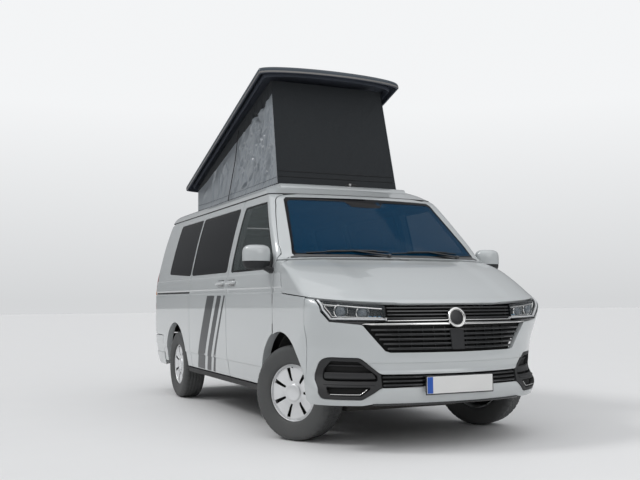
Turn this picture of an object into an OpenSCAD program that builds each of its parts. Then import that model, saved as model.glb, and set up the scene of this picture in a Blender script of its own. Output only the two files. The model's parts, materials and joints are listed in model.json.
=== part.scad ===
// Camper van with its pop-up roof raised. X points forward, Y to the left, Z up, in millimetres.
// The origin is on the ground below the middle of the van.

/* [Body] */
// Length over the bumpers
body_length = 4904; // [4800:1:5000]
// Width of the body at its widest
body_width = 1904; // [1880:1:1930]
// Height of the fixed roof's crown
roof_height = 1990; // [1970:1:2020]
// Height of the sills' underside
sill_height = 300; // [285:1:315]
// Thickness of a door or side wall
wall = 80; // [70:1:90]
// Thickness of a panel's outer skin
skin = 22; // [18:1:26]
// Shut line between neighbouring panels
shut_gap = 7; // [6:0.5:9]
// Overlap of a door's skin over its inner panel
flange = 25; // [20:1:30]

/* [Running gear] */
// Distance between the axles
wheelbase = 3000; // [2950:1:3050]
// Distance from the front axle to the front bumper
front_overhang = 908; // [890:1:925]
// Distance between the middles of the tyres on one axle
track = 1628; // [1610:1:1640]
// Outer diameter of a tyre
tyre_diameter = 680; // [660:1:690]
// Width of a tyre
tyre_width = 215; // [195:1:225]
// Diameter of the rim under the tyre's bead
rim_diameter = 412; // [400:1:430]
// Radius of the wheel arches
arch_radius = 400; // [395:1:405]
// Angle of the front wheels to the left
steer_angle = 29; // [0:1:34]
// Distance from a kingpin to the middle of its tyre
kingpin_offset = 69; // [60:1:75]
// Diameter of a stub axle
axle_diameter = 56; // [48:1:60]

/* [Doors] */
// Distance from the front axle back to the front door's leading edge
door_setback = 144; // [135:1:155]
// Width of a front door
door_width = 1115; // [1100:1:1130]
// Width of the sliding door
slide_width = 1180; // [1150:1:1200]
// Height of the doors' lower edge
door_bottom = 352; // [346:1:360]
// Height of the doors' upper edge
door_top = 1872; // [1866:1:1876]
// Height of the side windows' lower edge
waist_height = 1240; // [1225:1:1255]
// Height of the side windows' upper edge
window_top = 1805; // [1790:1:1815]

/* [Pop-up roof] */
// Length of the lid
lid_length = 2640; // [2600:1:2660]
// Width of the lid
lid_width = 1404; // [1380:1:1420]
// Slope of the raised lid
lid_slope = 17.55; // [16:0.05:18]
// Height of the raised lid's rear lower edge above the roof
lid_rise = 229; // [215:1:245]
// Thickness of the lid's shell
lid_skin = 16; // [12:1:20]
// Height of the lifting arms' foot pins above the roof
arm_foot_rise = 18; // [17:0.1:22]
// Angle of a lifting arm when the roof is up
arm_angle = 65; // [60:1:70]
// Diameter of the lifting arms' pins
arm_pin = 16; // [12:1:18]
// Thickness of the tent's cloth wall
tent_wall = 12; // [8:1:16]

/* [Fits] */
// Clearance of a piece in its seat
seat_gap = 0.3; // [0.2:0.05:0.4]

/* [Hidden] */
$fn = 64;

half_length = body_length / 2;
half_width = body_width / 2;
front_axle_x = half_length - front_overhang;
rear_axle_x = front_axle_x - wheelbase;
hub_z = tyre_diameter / 2;
wheel_y = track / 2;
kingpin_y = wheel_y - kingpin_offset;
arch_z = hub_z + 35;
far = 4000;

// Waterlines of the body from the sill to the roof's crown
// Columns: height, setback of the nose, depth of the rounded nose, inset of the side, inset of the tail,
// depth of the rounded tail
body_layers = [
    [sill_height, 52, 450, 47, 52, 150],
    [sill_height + 100, 6, 480, 27, 14, 150],
    [520, 0, 640, 12, 0, 150],
    [660, 9, 608, 5, 8, 140],
    [860, 40, 425, 1, 20, 130],
    [975, 78, 335, 0, 26, 125],
    [1050, 192, 340, 0, 30, 120],
    [1150, 387, 300, 7, 36, 115],
    [1240, 602, 250, 17, 44, 112],
    [1324, 852, 226, 32, 54, 110],
    [1450, 994, 200, 59, 68, 105],
    [1600, 1164, 170, 95, 88, 100],
    [1750, 1334, 140, 137, 118, 95],
    [roof_height - 140, 1452, 125, 169, 142, 92],
    [roof_height - 90, 1572, 115, 189, 172, 90],
    [roof_height - 50, 1662, 110, 222, 212, 88],
    [roof_height - 20, 1737, 105, 282, 250, 86],
    [roof_height, 1790, 100, 340, 335, 84]];

// Waterlines of the lid above its rim, from its rear edge forward
// Columns: height, setback of the nose, depth of the rounded nose, inset of the side, inset of the tail,
// depth of the rounded tail
lid_layers = [
    [0, 0, 90, 0, 0, 60],
    [25, 0, 90, 0, 0, 60],
    [48, 4, 90, 5, 4, 60],
    [64, 18, 92, 18, 16, 62],
    [78, 55, 95, 50, 45, 64],
    [88, 110, 100, 100, 90, 66],
    [96, 200, 110, 180, 160, 70],
    [102, 340, 130, 290, 280, 80],
    [105, 520, 150, 430, 460, 90]];

nose_steps = 12;
tail_steps = 10;
ring_points = nose_steps + tail_steps + 2;

// One waterline as a ring of points, drawn in by an inset and lowered by a drop
function nose_angle(i) = -90 + 180 * i / nose_steps;
function tail_angle(i) = 90 + 180 * i / tail_steps;
function ring(row, front, rear, half, inset, drop) = concat(
    [for (i = [0:nose_steps])
        [front - row[1] - row[2] + (row[2] - inset) * cos(nose_angle(i)),
        (half - row[3] - inset) * sin(nose_angle(i)), row[0] - drop]],
    [for (i = [0:tail_steps])
        [rear + row[4] + row[5] + (row[5] - inset) * cos(tail_angle(i)),
        (half - row[3] - inset) * sin(tail_angle(i)), row[0] - drop]]);

// A smooth solid through the waterlines
module loft(rows, front, rear, half, inset, drop) {
    for (i = [0:len(rows) - 2])
        hull()
            polyhedron(
                points = concat(ring(rows[i], front, rear, half, inset, drop),
                    ring(rows[i + 1], front, rear, half, inset, drop)),
                faces = [[for (k = [0:ring_points - 1]) k],
                    [for (k = [0:ring_points - 1]) 2 * ring_points - 1 - k]]);
}

module body_loft(inset = 0, drop = 0) {
    loft(body_layers, half_length, -half_length, half_width, inset, drop);
}

// The body's shell between two insets, lowered with them below the roof and bonnet
drop_share = 0.55;
module body_shell(outer, inner) {
    difference() {
        body_loft(outer, outer * drop_share);
        body_loft(inner, inner * drop_share);
        translate([-far, -far, sill_height - far])
            cube([2 * far, 2 * far, far]);
    }
}

// Prisms of an outline: drawn in (x, z) and run along Y, or drawn in (y, z) and run along X
module along_y(y0, y1) {
    translate([0, y1, 0])
        rotate([90, 0, 0])
            linear_extrude(y1 - y0)
                children();
}

module along_x(x0, x1) {
    translate([x0, 0, 0])
        rotate([90, 0, 90])
            linear_extrude(x1 - x0)
                children();
}

// A prism through one side of the body: side is 1 on the left and -1 on the right
module side_prism(side) {
    along_y(side > 0 ? 0 : -far, side > 0 ? far : 0)
        children();
}

module both_sides() {
    children();
    mirror([0, 1, 0])
        children();
}

// An outline seen from the front, on both sides
module both_outlines() {
    children();
    mirror([1, 0, 0])
        children();
}

// Round openings for the four wheels
housing_wall = 12;
front_well_y = 490;
rear_well_y = 640;
module wheel_wells(radius) {
    both_sides() {
        translate([front_axle_x, far, arch_z])
            rotate([90, 0, 0])
                cylinder(r = radius, h = far - front_well_y);
        translate([rear_axle_x, far, arch_z])
            rotate([90, 0, 0])
                cylinder(r = radius, h = far - rear_well_y);
    }
}

// Panel outlines seen from the side
door_front_x = front_axle_x - door_setback;
door_rear_x = door_front_x - door_width;
slide_front_x = door_rear_x - shut_gap;
slide_rear_x = slide_front_x - slide_width;
quarter_front_x = slide_rear_x - shut_gap;

// The windscreen pillar's rear edge leans back from the wing
pillar_foot_z = 1349;
cowl_z = 1301;
wing_low = 380;
pillar_lean = 0.949;
function pillar_x(z) = door_front_x - (z - pillar_foot_z) * pillar_lean;

module front_door_outline() {
    polygon([[door_rear_x, door_bottom], [door_front_x, door_bottom], [door_front_x, pillar_foot_z],
        [pillar_x(door_top), door_top], [door_rear_x, door_top]]);
}

frame_width = 62;
module front_door_glass() {
    polygon([[door_rear_x + frame_width, waist_height], [door_front_x - frame_width, waist_height],
        [door_front_x - frame_width, pillar_foot_z - frame_width / 2],
        [pillar_x(window_top) - frame_width * 1.3, window_top],
        [door_rear_x + frame_width + 12, window_top]]);
}

module sliding_door_outline() {
    translate([slide_rear_x, door_bottom])
        square([slide_width, door_top - door_bottom]);
}

waist_rise = 22;
module sliding_door_glass() {
    polygon([[slide_rear_x + frame_width, waist_height + waist_rise],
        [slide_front_x - frame_width, waist_height],
        [slide_front_x - frame_width, window_top],
        [slide_rear_x + frame_width, window_top]]);
}

quarter_glass_length = 800;
module quarter_glass() {
    polygon([[quarter_front_x - frame_width - quarter_glass_length, waist_height + 2 * waist_rise],
        [quarter_front_x - frame_width, waist_height + waist_rise],
        [quarter_front_x - frame_width, window_top],
        [quarter_front_x - frame_width - quarter_glass_length + 30, window_top]]);
}

// Outlines seen from the front or from behind
screen_base_z = 1334;
screen_top_z = 1840;
module windscreen_outline() {
    polygon([[-792, screen_base_z], [792, screen_base_z], [655, screen_top_z], [-655, screen_top_z]]);
}

tailgate_inner_x = -half_length + 400;
tailgate_bottom = 640;
tailgate_top = 1868;
tailgate_top_half = 690;
module tailgate_outline() {
    polygon([[-775, tailgate_bottom], [775, tailgate_bottom], [806, 1010], [760, 1500],
        [tailgate_top_half, tailgate_top], [-tailgate_top_half, tailgate_top], [-760, 1500], [-806, 1010]]);
}

// The tailgate's opening runs up to the roof
module tailgate_opening() {
    grown(shut_gap)
        tailgate_outline();
    translate([-tailgate_top_half - shut_gap, tailgate_top])
        square([2 * (tailgate_top_half + shut_gap), far]);
}

module rear_glass_outline() {
    polygon([[-690, waist_height], [690, waist_height], [618, window_top - 15], [-618, window_top - 15]]);
}

nose_rear_x = half_length - 652;
pod_rear_x = half_length - 440;
lamp_low = 862;
lamp_high = 970;
module headlamp_outline() {
    polygon([[506, lamp_low], [506, lamp_high], [700, lamp_high + 18], [912, lamp_high + 46],
        [896, 930], [846, lamp_low + 2]]);
}

grille_half = 499;
grille_low = 658;
module grille_outline() {
    polygon([[-grille_half, lamp_high], [grille_half, lamp_high], [grille_half, lamp_low],
        [648, 838], [grille_half, grille_low], [-grille_half, grille_low], [-648, 838],
        [-grille_half, lamp_low]]);
}

intake_top = 512;
intake_low = 424;
module intake_outline() {
    polygon([[-596, intake_top], [596, intake_top], [556, intake_low], [-556, intake_low]]);
}

module fog_pod_outline() {
    polygon([[604, intake_top], [833, 606], [872, 480], [860, 348], [680, 336], [640, 420],
        [563, intake_low]]);
}

lamp_wrap_x = -half_length + 150;
module tail_lamp_outline() {
    polygon([[818, 900], [half_width, 900], [half_width, 1330], [790, 1330], [812, 1010]]);
}

module grown(step) {
    offset(delta = step)
        children();
}

// The bonnet wraps over the wings down to the belt line, with its rear edge below the windscreen
bonnet_foot_x = half_length - 852;
bonnet_corner_x = half_length - 944;
lamp_inner_x = half_length - 122;
bumper_edge_x = half_length - 441;
bonnet_corner_z = cowl_z + 1;
bonnet_edge_run = 132;
bonnet_edge_rise = 10;
bonnet_gap = 10;
module bonnet_outline() {
    polygon([[bonnet_foot_x, 1058], [bumper_edge_x, lamp_high + 60], [lamp_inner_x, lamp_high + 15],
        [far, lamp_high + 8], [far, 1500], [bonnet_foot_x + 100, 1500],
        [bonnet_corner_x + bonnet_edge_run, bonnet_corner_z + bonnet_edge_rise],
        [bonnet_corner_x, bonnet_corner_z]]);
}

// The bumper's joint with the wings runs up from the wheel arch to the headlamp
module bumper_outline() {
    polygon([[bumper_edge_x - 71, 0], [far, 0], [far, lamp_high + 1], [lamp_inner_x, lamp_high + 8],
        [bumper_edge_x, lamp_high + 53], [bumper_edge_x - 16, 760], [bumper_edge_x - 51, 560]]);
}

paint = [0.80, 0.79, 0.75];
dark_plastic = [0.07, 0.07, 0.08];
tinted_glass = [0.12, 0.15, 0.17, 0.6];

// Body structure
floor_top = 540;
floor_low = 480;
sill_seam = sill_height + 43;
floor_half = 830;
floor_front_x = front_axle_x - 250;
floor_rear_x = -half_length + 150;
rail_y = 430;
rail_width = 90;
rail_low = 400;
rail_front_x = front_axle_x + 640;
toe_board_x = front_axle_x + 100;
toe_board_top = 1140;
toe_board_wall = 40;
member_width = 70;
module floor_pan() {
    color("dimgray")
        difference() {
            union() {
                translate([floor_rear_x, -floor_half, floor_low])
                    cube([floor_front_x - floor_rear_x, 2 * floor_half, floor_top - floor_low]);
                translate([floor_front_x - 10, -front_well_y + 20, floor_low])
                    cube([toe_board_x - floor_front_x + 10, 2 * front_well_y - 40, floor_top - floor_low]);
                translate([toe_board_x - toe_board_wall, -front_well_y + 20, floor_low])
                    cube([toe_board_wall, 2 * front_well_y - 40, toe_board_top - floor_low]);
                both_sides() {
                    translate([floor_rear_x + 60, rail_y - rail_width / 2, rail_low])
                        cube([rail_front_x - floor_rear_x - 60, rail_width, floor_low - rail_low + 10]);
                    translate([sill_rear_x, floor_half - member_width, sill_seam])
                        cube([sill_front_x - sill_rear_x, member_width, floor_top - sill_seam]);
                }
            }
            housing_clearance();
        }
}

module housing_clearance() {
    radius = arch_radius + housing_wall + seat_gap;
    both_sides() {
        translate([front_axle_x, far, arch_z])
            rotate([90, 0, 0])
                cylinder(r = radius, h = far - front_well_y + housing_wall + seat_gap);
        translate([rear_axle_x, far, arch_z])
            rotate([90, 0, 0])
                cylinder(r = radius, h = far - rear_well_y + housing_wall + seat_gap);
    }
}

sill_front_x = front_axle_x - arch_radius - 12;
sill_rear_x = rear_axle_x + arch_radius + 12;
module side_sills() {
    color(paint)
        intersection() {
            body_shell(0, wall + 30);
            both_sides()
                translate([sill_rear_x, 500, sill_height])
                    cube([sill_front_x - sill_rear_x, far, sill_seam - seat_gap - sill_height]);
        }
}

roof_seam = door_top + shut_gap;
lid_rear_x = -half_length + 453;
hatch_front_x = lid_rear_x + 2469;
hatch_rear_x = lid_rear_x + 299;
hatch_half = 560;
module roof_panel() {
    color(paint)
        difference() {
            intersection() {
                body_shell(0, wall);
                translate([-far, -far, roof_seam])
                    cube([2 * far, 2 * far, far]);
            }
            translate([hatch_rear_x, -hatch_half, roof_seam - far / 2])
                cube([hatch_front_x - hatch_rear_x, 2 * hatch_half, far]);
        }
}

module windscreen_frame() {
    color(paint)
        difference() {
            intersection() {
                body_shell(0, wall);
                along_y(-far, far)
                    polygon([[door_front_x + shut_gap, cowl_z + seat_gap], [far, cowl_z + seat_gap],
                        [far, roof_seam - seat_gap], [pillar_x(roof_seam) + shut_gap, roof_seam - seat_gap],
                        [door_front_x + shut_gap, pillar_foot_z]]);
            }
            along_x(0, far)
                windscreen_outline();
            along_y(-far, far)
                grown(bonnet_gap)
                    bonnet_outline();
            // Relief for the bonnet's rear edge as it swings up
            along_y(-far, far)
                translate([bonnet_pin_x, cowl_z])
                    square([far, 3 * bonnet_gap]);
        }
}

glass_depth = 8;
glass_thick = 6;
module windscreen() {
    color(tinted_glass)
        intersection() {
            body_shell(glass_depth, glass_depth + glass_thick);
            along_x(0, far)
                grown(-seat_gap)
                    windscreen_outline();
        }
}

// The inner pillar that both doors of one side close against
pillar_half = 45;
pillar_depth = 45;
pillar_headroom = 30;
module inner_pillar(side) {
    intersection() {
        body_shell(wall + seat_gap, wall + pillar_depth);
        side_prism(side)
            translate([door_rear_x - pillar_half, floor_top + seat_gap])
                square([2 * pillar_half, roof_seam - pillar_headroom - floor_top]);
    }
}

module rear_wall_part(side, front_x) {
    difference() {
        intersection() {
            body_shell(0, wall);
            side_prism(side)
                polygon([[-far, door_bottom], [front_x, door_bottom], [front_x, roof_seam - seat_gap],
                    [-far, roof_seam - seat_gap]]);
        }
        wheel_wells(arch_radius);
        along_x(-far, tailgate_inner_x)
            tailgate_opening();
        along_x(-far, lamp_wrap_x + seat_gap)
            both_outlines()
                grown(seat_gap)
                    tail_lamp_outline();
        along_y(-far, far)
            grown(seat_gap)
                rear_bumper_outline();
    }
}

bumper_length = 476;
bumper_top = 620;
module rear_bumper_outline() {
    translate([-far, 0])
        square([far - half_length + bumper_length, bumper_top]);
}

module side_wall_left() {
    color(paint) {
        difference() {
            rear_wall_part(1, slide_front_x);
            side_prism(1)
                sliding_door_glass();
            side_prism(1)
                quarter_glass();
        }
        inner_pillar(1);
    }
}

module side_wall_right() {
    color(paint) {
        difference() {
            rear_wall_part(-1, quarter_front_x);
            side_prism(-1)
                quarter_glass();
        }
        inner_pillar(-1);
    }
}

// Fixed panes, each set into its opening
module pane(side) {
    intersection() {
        body_shell(glass_depth, glass_depth + glass_thick);
        side_prism(side)
            grown(-seat_gap)
                children();
    }
}

module side_windows() {
    color(tinted_glass) {
        pane(1)
            sliding_door_glass();
        pane(1)
            quarter_glass();
        pane(-1)
            sliding_door_glass();
        pane(-1)
            quarter_glass();
    }
}

// A door's skin laps over its smaller inner panel
module door_panel(side, skin_overlap) {
    intersection() {
        body_shell(0, skin);
        side_prism(side)
            children();
    }
    intersection() {
        body_shell(skin - 1, wall);
        side_prism(side)
            grown(-skin_overlap)
                children();
    }
}

module sliding_door() {
    color(paint)
        difference() {
            door_panel(-1, flange)
                sliding_door_outline();
            side_prism(-1)
                sliding_door_glass();
            wheel_wells(arch_radius);
        }
}

module front_door(side) {
    color(paint)
        difference() {
            door_panel(side, flange)
                front_door_outline();
            side_prism(side)
                front_door_glass();
            wheel_wells(arch_radius + 14);
        }
}

module front_door_left() {
    front_door(1);
}

module front_door_right() {
    front_door(-1);
}

module door_window(side) {
    color(tinted_glass)
        pane(side)
            front_door_glass();
}

module door_window_left() {
    door_window(1);
}

module door_window_right() {
    door_window(-1);
}

// Hinge pins: upright for the front doors, level for the bonnet and the tailgate
door_pin_x = door_front_x + shut_gap / 2;
door_pin = shut_gap - 2 * seat_gap;
door_pin_length = 70;
door_pin_heights = [760, 980];
bonnet_pin_x = bonnet_foot_x;
bonnet_pin_z = bonnet_corner_z + (bonnet_pin_x - bonnet_corner_x) * bonnet_edge_rise / bonnet_edge_run
    + bonnet_gap / 2;
bonnet_pin = bonnet_gap - 2 * seat_gap;
tailgate_pin_x = -half_length + 162.5;
tailgate_pin_z = (tailgate_top + roof_seam) / 2;
tailgate_pin = roof_seam - tailgate_top - 2 * seat_gap;
level_pin_y = 30;
level_pin_length = 80;
module level_pin(x, z, diameter) {
    translate([x, level_pin_y, z])
        rotate([-90, 0, 0])
            cylinder(d = diameter, h = level_pin_length);
}

module hinge_pins() {
    color("silver")
        both_sides() {
            for (z = door_pin_heights)
                translate([door_pin_x, half_width, z])
                    cylinder(d = door_pin, h = door_pin_length);
            level_pin(bonnet_pin_x, bonnet_pin_z, bonnet_pin);
            level_pin(tailgate_pin_x, tailgate_pin_z, tailgate_pin);
        }
}

// The front panel stands on the rails and carries the closed bonnet on two buffers
slam_x = rail_front_x - 54;
slam_depth = 50;
slam_low = 860;
slam_height = 40;
buffer_y = 300;
buffer_diameter = 44;
module slam_panel() {
    post_foot = floor_low + 10 + seat_gap;
    color("dimgray")
        intersection() {
            union() {
                translate([slam_x, -rail_y, slam_low])
                    cube([slam_depth, 2 * rail_y, slam_height]);
                both_sides() {
                    translate([slam_x, rail_y - rail_width / 2, post_foot])
                        cube([slam_depth, rail_width, slam_low + slam_height - post_foot]);
                    translate([slam_x + slam_depth / 2, buffer_y, slam_low])
                        cylinder(d = buffer_diameter, h = 2 * buffer_y);
                }
            }
            body_loft(wing_wall + seat_gap, (wing_wall + seat_gap) * drop_share);
        }
}

wing_wall = 60;
module front_wings() {
    color(paint)
        difference() {
            intersection() {
                body_shell(0, wing_wall);
                along_y(-far, far)
                    polygon([[door_front_x + shut_gap, wing_low], [far, wing_low], [far, cowl_z],
                        [door_front_x + shut_gap, cowl_z]]);
                both_sides()
                    translate([0, 600, 0])
                        cube([far, far, far]);
            }
            wheel_wells(arch_radius);
            along_y(-far, far)
                grown(shut_gap)
                    bonnet_outline();
            along_y(-far, far)
                grown(seat_gap)
                    bumper_outline();
            along_x(nose_rear_x, far)
                both_outlines()
                    grown(seat_gap)
                        headlamp_outline();
        }
}

// Inner arches round the four wheels, open where an axle comes through
housing_drop = 60;
axle_play = 30;
module wheel_housing(x, inner_y, outer_y) {
    translate([x, outer_y, arch_z])
        rotate([90, 0, 0])
            difference() {
                cylinder(r = arch_radius + housing_wall, h = outer_y - inner_y);
                translate([0, 0, -1])
                    cylinder(r = arch_radius, h = outer_y - inner_y - housing_wall + 1);
                translate([-far, -far - housing_drop, -far])
                    cube([2 * far, far, 2 * far]);
                translate([0, hub_z - arch_z, 0])
                    cylinder(d = axle_diameter + 2 * axle_play, h = far);
            }
}

housing_outer_y = 835;
module wheel_housings() {
    color("black")
        both_sides() {
            wheel_housing(front_axle_x, front_well_y - housing_wall, housing_outer_y);
            wheel_housing(rear_axle_x, rear_well_y - housing_wall, housing_outer_y);
        }
}

bumper_wall = 70;
module front_bumper() {
    color(paint)
        difference() {
            intersection() {
                body_shell(0, bumper_wall);
                along_y(-far, far)
                    bumper_outline();
            }
            wheel_wells(arch_radius);
            along_x(nose_rear_x, far) {
                both_outlines() {
                    grown(seat_gap)
                        headlamp_outline();
                    grown(seat_gap)
                        fog_pod_outline();
                }
                grown(seat_gap)
                    grille_outline();
                grown(seat_gap)
                    intake_outline();
            }
        }
}

grille_recess = 14;
slat_pitch = 26;
slat_height = 9;
slat_margin = 4;
module slats(low, high) {
    for (z = [low + slat_pitch / 2:slat_pitch:high - slat_height])
        translate([-far, z])
            square([2 * far, slat_height]);
}

module grilles() {
    color(dark_plastic) {
        intersection() {
            body_shell(grille_recess + 18, bumper_wall);
            along_x(pod_rear_x, far) {
                grille_outline();
                intake_outline();
                both_outlines()
                    fog_pod_outline();
            }
        }
        intersection() {
            body_shell(grille_recess - 8, grille_recess + 25);
            along_x(pod_rear_x, far)
                intersection() {
                    grown(-slat_margin) {
                        grille_outline();
                        intake_outline();
                        both_outlines()
                            fog_pod_outline();
                    }
                    slats(intake_low - 70, lamp_high);
                }
        }
    }
}

strip_height = 13;
strip_heights = [833, 852];
emblem_diameter = 140;
emblem_z = 890;
module grille_trim() {
    color("silver") {
        intersection() {
            body_shell(0, grille_recess - 8 - seat_gap);
            along_x(nose_rear_x, far)
                intersection() {
                    grille_outline();
                    union() {
                        for (z = strip_heights)
                            translate([-far, z])
                                square([2 * far, strip_height]);
                        translate([0, emblem_z])
                            circle(d = emblem_diameter);
                    }
                }
        }
    }
}

lamp_depth = 90;
module headlamps() {
    color("lightgray")
        intersection() {
            body_shell(3, lamp_depth);
            along_x(nose_rear_x, far)
                both_outlines()
                    headlamp_outline();
        }
}

module tail_lamps() {
    color("darkred")
        difference() {
            intersection() {
                body_shell(3, wall);
                along_x(-far, lamp_wrap_x)
                    both_outlines()
                        tail_lamp_outline();
            }
            along_x(-far, tailgate_inner_x)
                tailgate_opening();
        }
}

module rear_bumper() {
    color(paint)
        difference() {
            intersection() {
                body_shell(0, wall);
                along_y(-far, far)
                    rear_bumper_outline();
            }
            wheel_wells(arch_radius);
        }
}

// Machinery below the floor
engine_size = [420, 2 * (rail_y - rail_width / 2 - seat_gap), 520];
engine_z = 420;
module engine_block() {
    color("gray")
        translate([front_axle_x + 160, -engine_size[1] / 2, engine_z])
            cube(engine_size);
}

pipe_diameter = 60;
silencer_diameter = 190;
exhaust_y = -200;
exhaust_z = floor_low - silencer_diameter / 2 - seat_gap;
module exhaust() {
    color("darkgray")
        translate([0, exhaust_y, exhaust_z])
            rotate([0, 90, 0]) {
                translate([0, 0, rear_axle_x + 700])
                    cylinder(d = silencer_diameter, h = 520);
                translate([0, 0, rear_axle_x + 200])
                    cylinder(d = pipe_diameter, h = front_axle_x - rear_axle_x - 460);
            }
}

tank_size = [760, 360, 150];
module fuel_tank() {
    color("black")
        translate([0, 180 - rail_width / 2 - tank_size[1] / 2 + 20, floor_low - tank_size[2] - seat_gap])
            translate([rear_axle_x + 560, 0, 0])
                cube(tank_size);
}

// Front axle: a cross member and two lower arms with an eye under each kingpin
arm_low = hub_z - 150;
arm_thick = 34;
arm_width = 90;
arm_root_y = 400;
eye_pin = 30;
eye_diameter = 80;
member_length = 260;
member_half = 470;
member_height = 100;
post_length = 120;
module front_subframe() {
    color("dimgray")
        difference() {
            union() {
                translate([front_axle_x - member_length / 2, -member_half, arm_low])
                    cube([member_length, 2 * member_half, member_height]);
                both_sides() {
                    translate([front_axle_x - post_length / 2, rail_y - rail_width / 2, arm_low])
                        cube([post_length, rail_width, rail_low - arm_low - seat_gap]);
                    translate([front_axle_x - arm_width / 2, arm_root_y, arm_low])
                        cube([arm_width, kingpin_y - arm_root_y, arm_thick]);
                    translate([front_axle_x, kingpin_y, arm_low])
                        cylinder(d = eye_diameter, h = arm_thick);
                }
            }
            both_sides()
                translate([front_axle_x, kingpin_y, arm_low - 1])
                    cylinder(d = eye_pin + 2 * seat_gap, h = arm_thick + 2);
        }
}

// A hub carrier on its kingpin, with the stub axle for the wheel and the strut inboard of the tyre
kingpin_diameter = 60;
knuckle_top = hub_z + 140;
link_width = 50;
link_height = 50;
strut_offset = 110;
strut_diameter = 80;
strut_top = arch_z + arch_radius - 35;
module knuckle(side) {
    color("gray")
        translate([front_axle_x, side * kingpin_y, 0]) {
            translate([0, 0, arm_low + arm_thick + seat_gap])
                cylinder(d = kingpin_diameter, h = knuckle_top - arm_low - arm_thick - seat_gap);
            translate([0, 0, arm_low - 6])
                cylinder(d = eye_pin, h = arm_thick + 10);
            rotate([0, 0, steer_angle]) {
                translate([0, 0, hub_z])
                    rotate([-side * 90, 0, 0])
                        cylinder(d = axle_diameter, h = kingpin_offset + hub_reach - seat_gap);
                translate([-link_width / 2, side > 0 ? -strut_offset : 0, knuckle_top - link_height])
                    cube([link_width, strut_offset, link_height]);
                translate([0, -side * strut_offset, knuckle_top - link_height])
                    cylinder(d = strut_diameter, h = strut_top - knuckle_top + link_height);
            }
        }
}

module knuckle_left() {
    knuckle(1);
}

module knuckle_right() {
    knuckle(-1);
}

beam_height = 90;
trailing_length = 640;
spring_diameter = 110;
spring_y = 540;
module rear_subframe() {
    color("dimgray") {
        translate([rear_axle_x - 60, -rear_well_y + 40, hub_z - beam_height / 2])
            cube([120, 2 * rear_well_y - 80, beam_height]);
        both_sides() {
            translate([rear_axle_x, rail_y - rail_width / 2, hub_z - beam_height / 2])
                cube([trailing_length, rail_width, beam_height - 20]);
            translate([rear_axle_x + trailing_length - 120, rail_y - rail_width / 2, hub_z])
                cube([120, rail_width, rail_low - hub_z - seat_gap]);
            translate([rear_axle_x, spring_y, hub_z])
                cylinder(d = spring_diameter, h = floor_low - hub_z - seat_gap);
            translate([rear_axle_x, rear_well_y - 60, hub_z])
                rotate([-90, 0, 0])
                    cylinder(d = axle_diameter, h = wheel_y - rear_well_y + 60 + hub_reach - seat_gap);
        }
    }
}

// Wheels and tyres, drawn about the Y axis with their outer face towards +Y
hub_reach = 58;
rim_half = 97;
cap_face = 74;
module tyre_shape() {
    half = tyre_width / 2;
    outer = tyre_diameter / 2;
    bead = rim_diameter / 2 + seat_gap;
    rotate([-90, 0, 0])
        rotate_extrude()
            polygon([[bead, -half + 20], [bead + 40, -half + 4], [outer - 60, -half],
                [outer - 22, -half + 8], [outer, -half + 34], [outer, half - 34],
                [outer - 22, half - 8], [outer - 60, half],
                [bead + 40, half - 4], [bead, half - 20]]);
}

slot_count = 7;
slot_width = 16;
slot_inner = 92;
slot_outer = 158;
module wheel_shape() {
    rim = rim_diameter / 2;
    bore = axle_diameter / 2 + seat_gap;
    difference() {
        rotate([90, 0, 0])
            rotate_extrude()
                polygon([[0, -hub_reach], [bore, -hub_reach], [bore, 30], [76, 30], [76, -46],
                    [slot_outer + 8, -58], [rim - 20, -36], [rim - 14, rim_half], [rim, rim_half],
                    [rim, -rim_half], [rim - 14, -rim_half], [rim - 20, -82],
                    [slot_outer + 8, -84], [76, -cap_face], [0, -cap_face]]);
        for (i = [0:slot_count - 1])
            rotate([0, 360 * i / slot_count, 0])
                translate([-slot_width / 2, 0, slot_inner])
                    cube([slot_width, rim_half + 20, slot_outer - slot_inner]);
    }
}

module front_corner(side) {
    translate([front_axle_x, side * kingpin_y, hub_z])
        rotate([0, 0, steer_angle])
            translate([0, side * kingpin_offset, 0])
                mirror([0, side < 0 ? 1 : 0, 0])
                    children();
}

module rear_corner(side) {
    translate([rear_axle_x, side * wheel_y, hub_z])
        mirror([0, side < 0 ? 1 : 0, 0])
            children();
}

module tyre_front_left() {
    color(dark_plastic)
        front_corner(1)
            tyre_shape();
}

module tyre_front_right() {
    color(dark_plastic)
        front_corner(-1)
            tyre_shape();
}

module tyre_rear_left() {
    color(dark_plastic)
        rear_corner(1)
            tyre_shape();
}

module tyre_rear_right() {
    color(dark_plastic)
        rear_corner(-1)
            tyre_shape();
}

module wheel_front_left() {
    color("silver")
        front_corner(1)
            wheel_shape();
}

module wheel_front_right() {
    color("silver")
        front_corner(-1)
            wheel_shape();
}

module wheel_rear_left() {
    color("silver")
        rear_corner(1)
            wheel_shape();
}

module wheel_rear_right() {
    color("silver")
        rear_corner(-1)
            wheel_shape();
}

// Cabin furniture
dash_half = 740;
dash_front_x = toe_board_x - toe_board_wall - seat_gap;
module dashboard() {
    color("dimgray")
        translate([dash_front_x, 0, 0])
            along_y(-dash_half, dash_half)
                polygon([[-424, 900], [-364, 1130], [-224, 1230], [-124, 1235], [0, toe_board_top - 2],
                    [0, toe_board_top - 100], [-204, 1000], [-204, 830], [-304, 830], [-314, 890]]);
}

seat_y = 400;
steering_rim = 380;
steering_tilt = 62;
column_length = 143.5;
module steering_wheel() {
    color("black")
        translate([toe_board_x - 564, seat_y, 1100])
            rotate([0, -steering_tilt, 0]) {
                rotate_extrude()
                    translate([steering_rim / 2, 0])
                        circle(d = 30);
                translate([0, 0, -40])
                    cylinder(d = 110, h = 60);
                for (a = [0, 120, 240])
                    rotate([0, 0, a])
                        translate([30, -17, -12])
                            cube([steering_rim / 2 - 32, 34, 18]);
                translate([0, 0, -column_length])
                    cylinder(d = 60, h = column_length - 20);
            }
}

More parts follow.
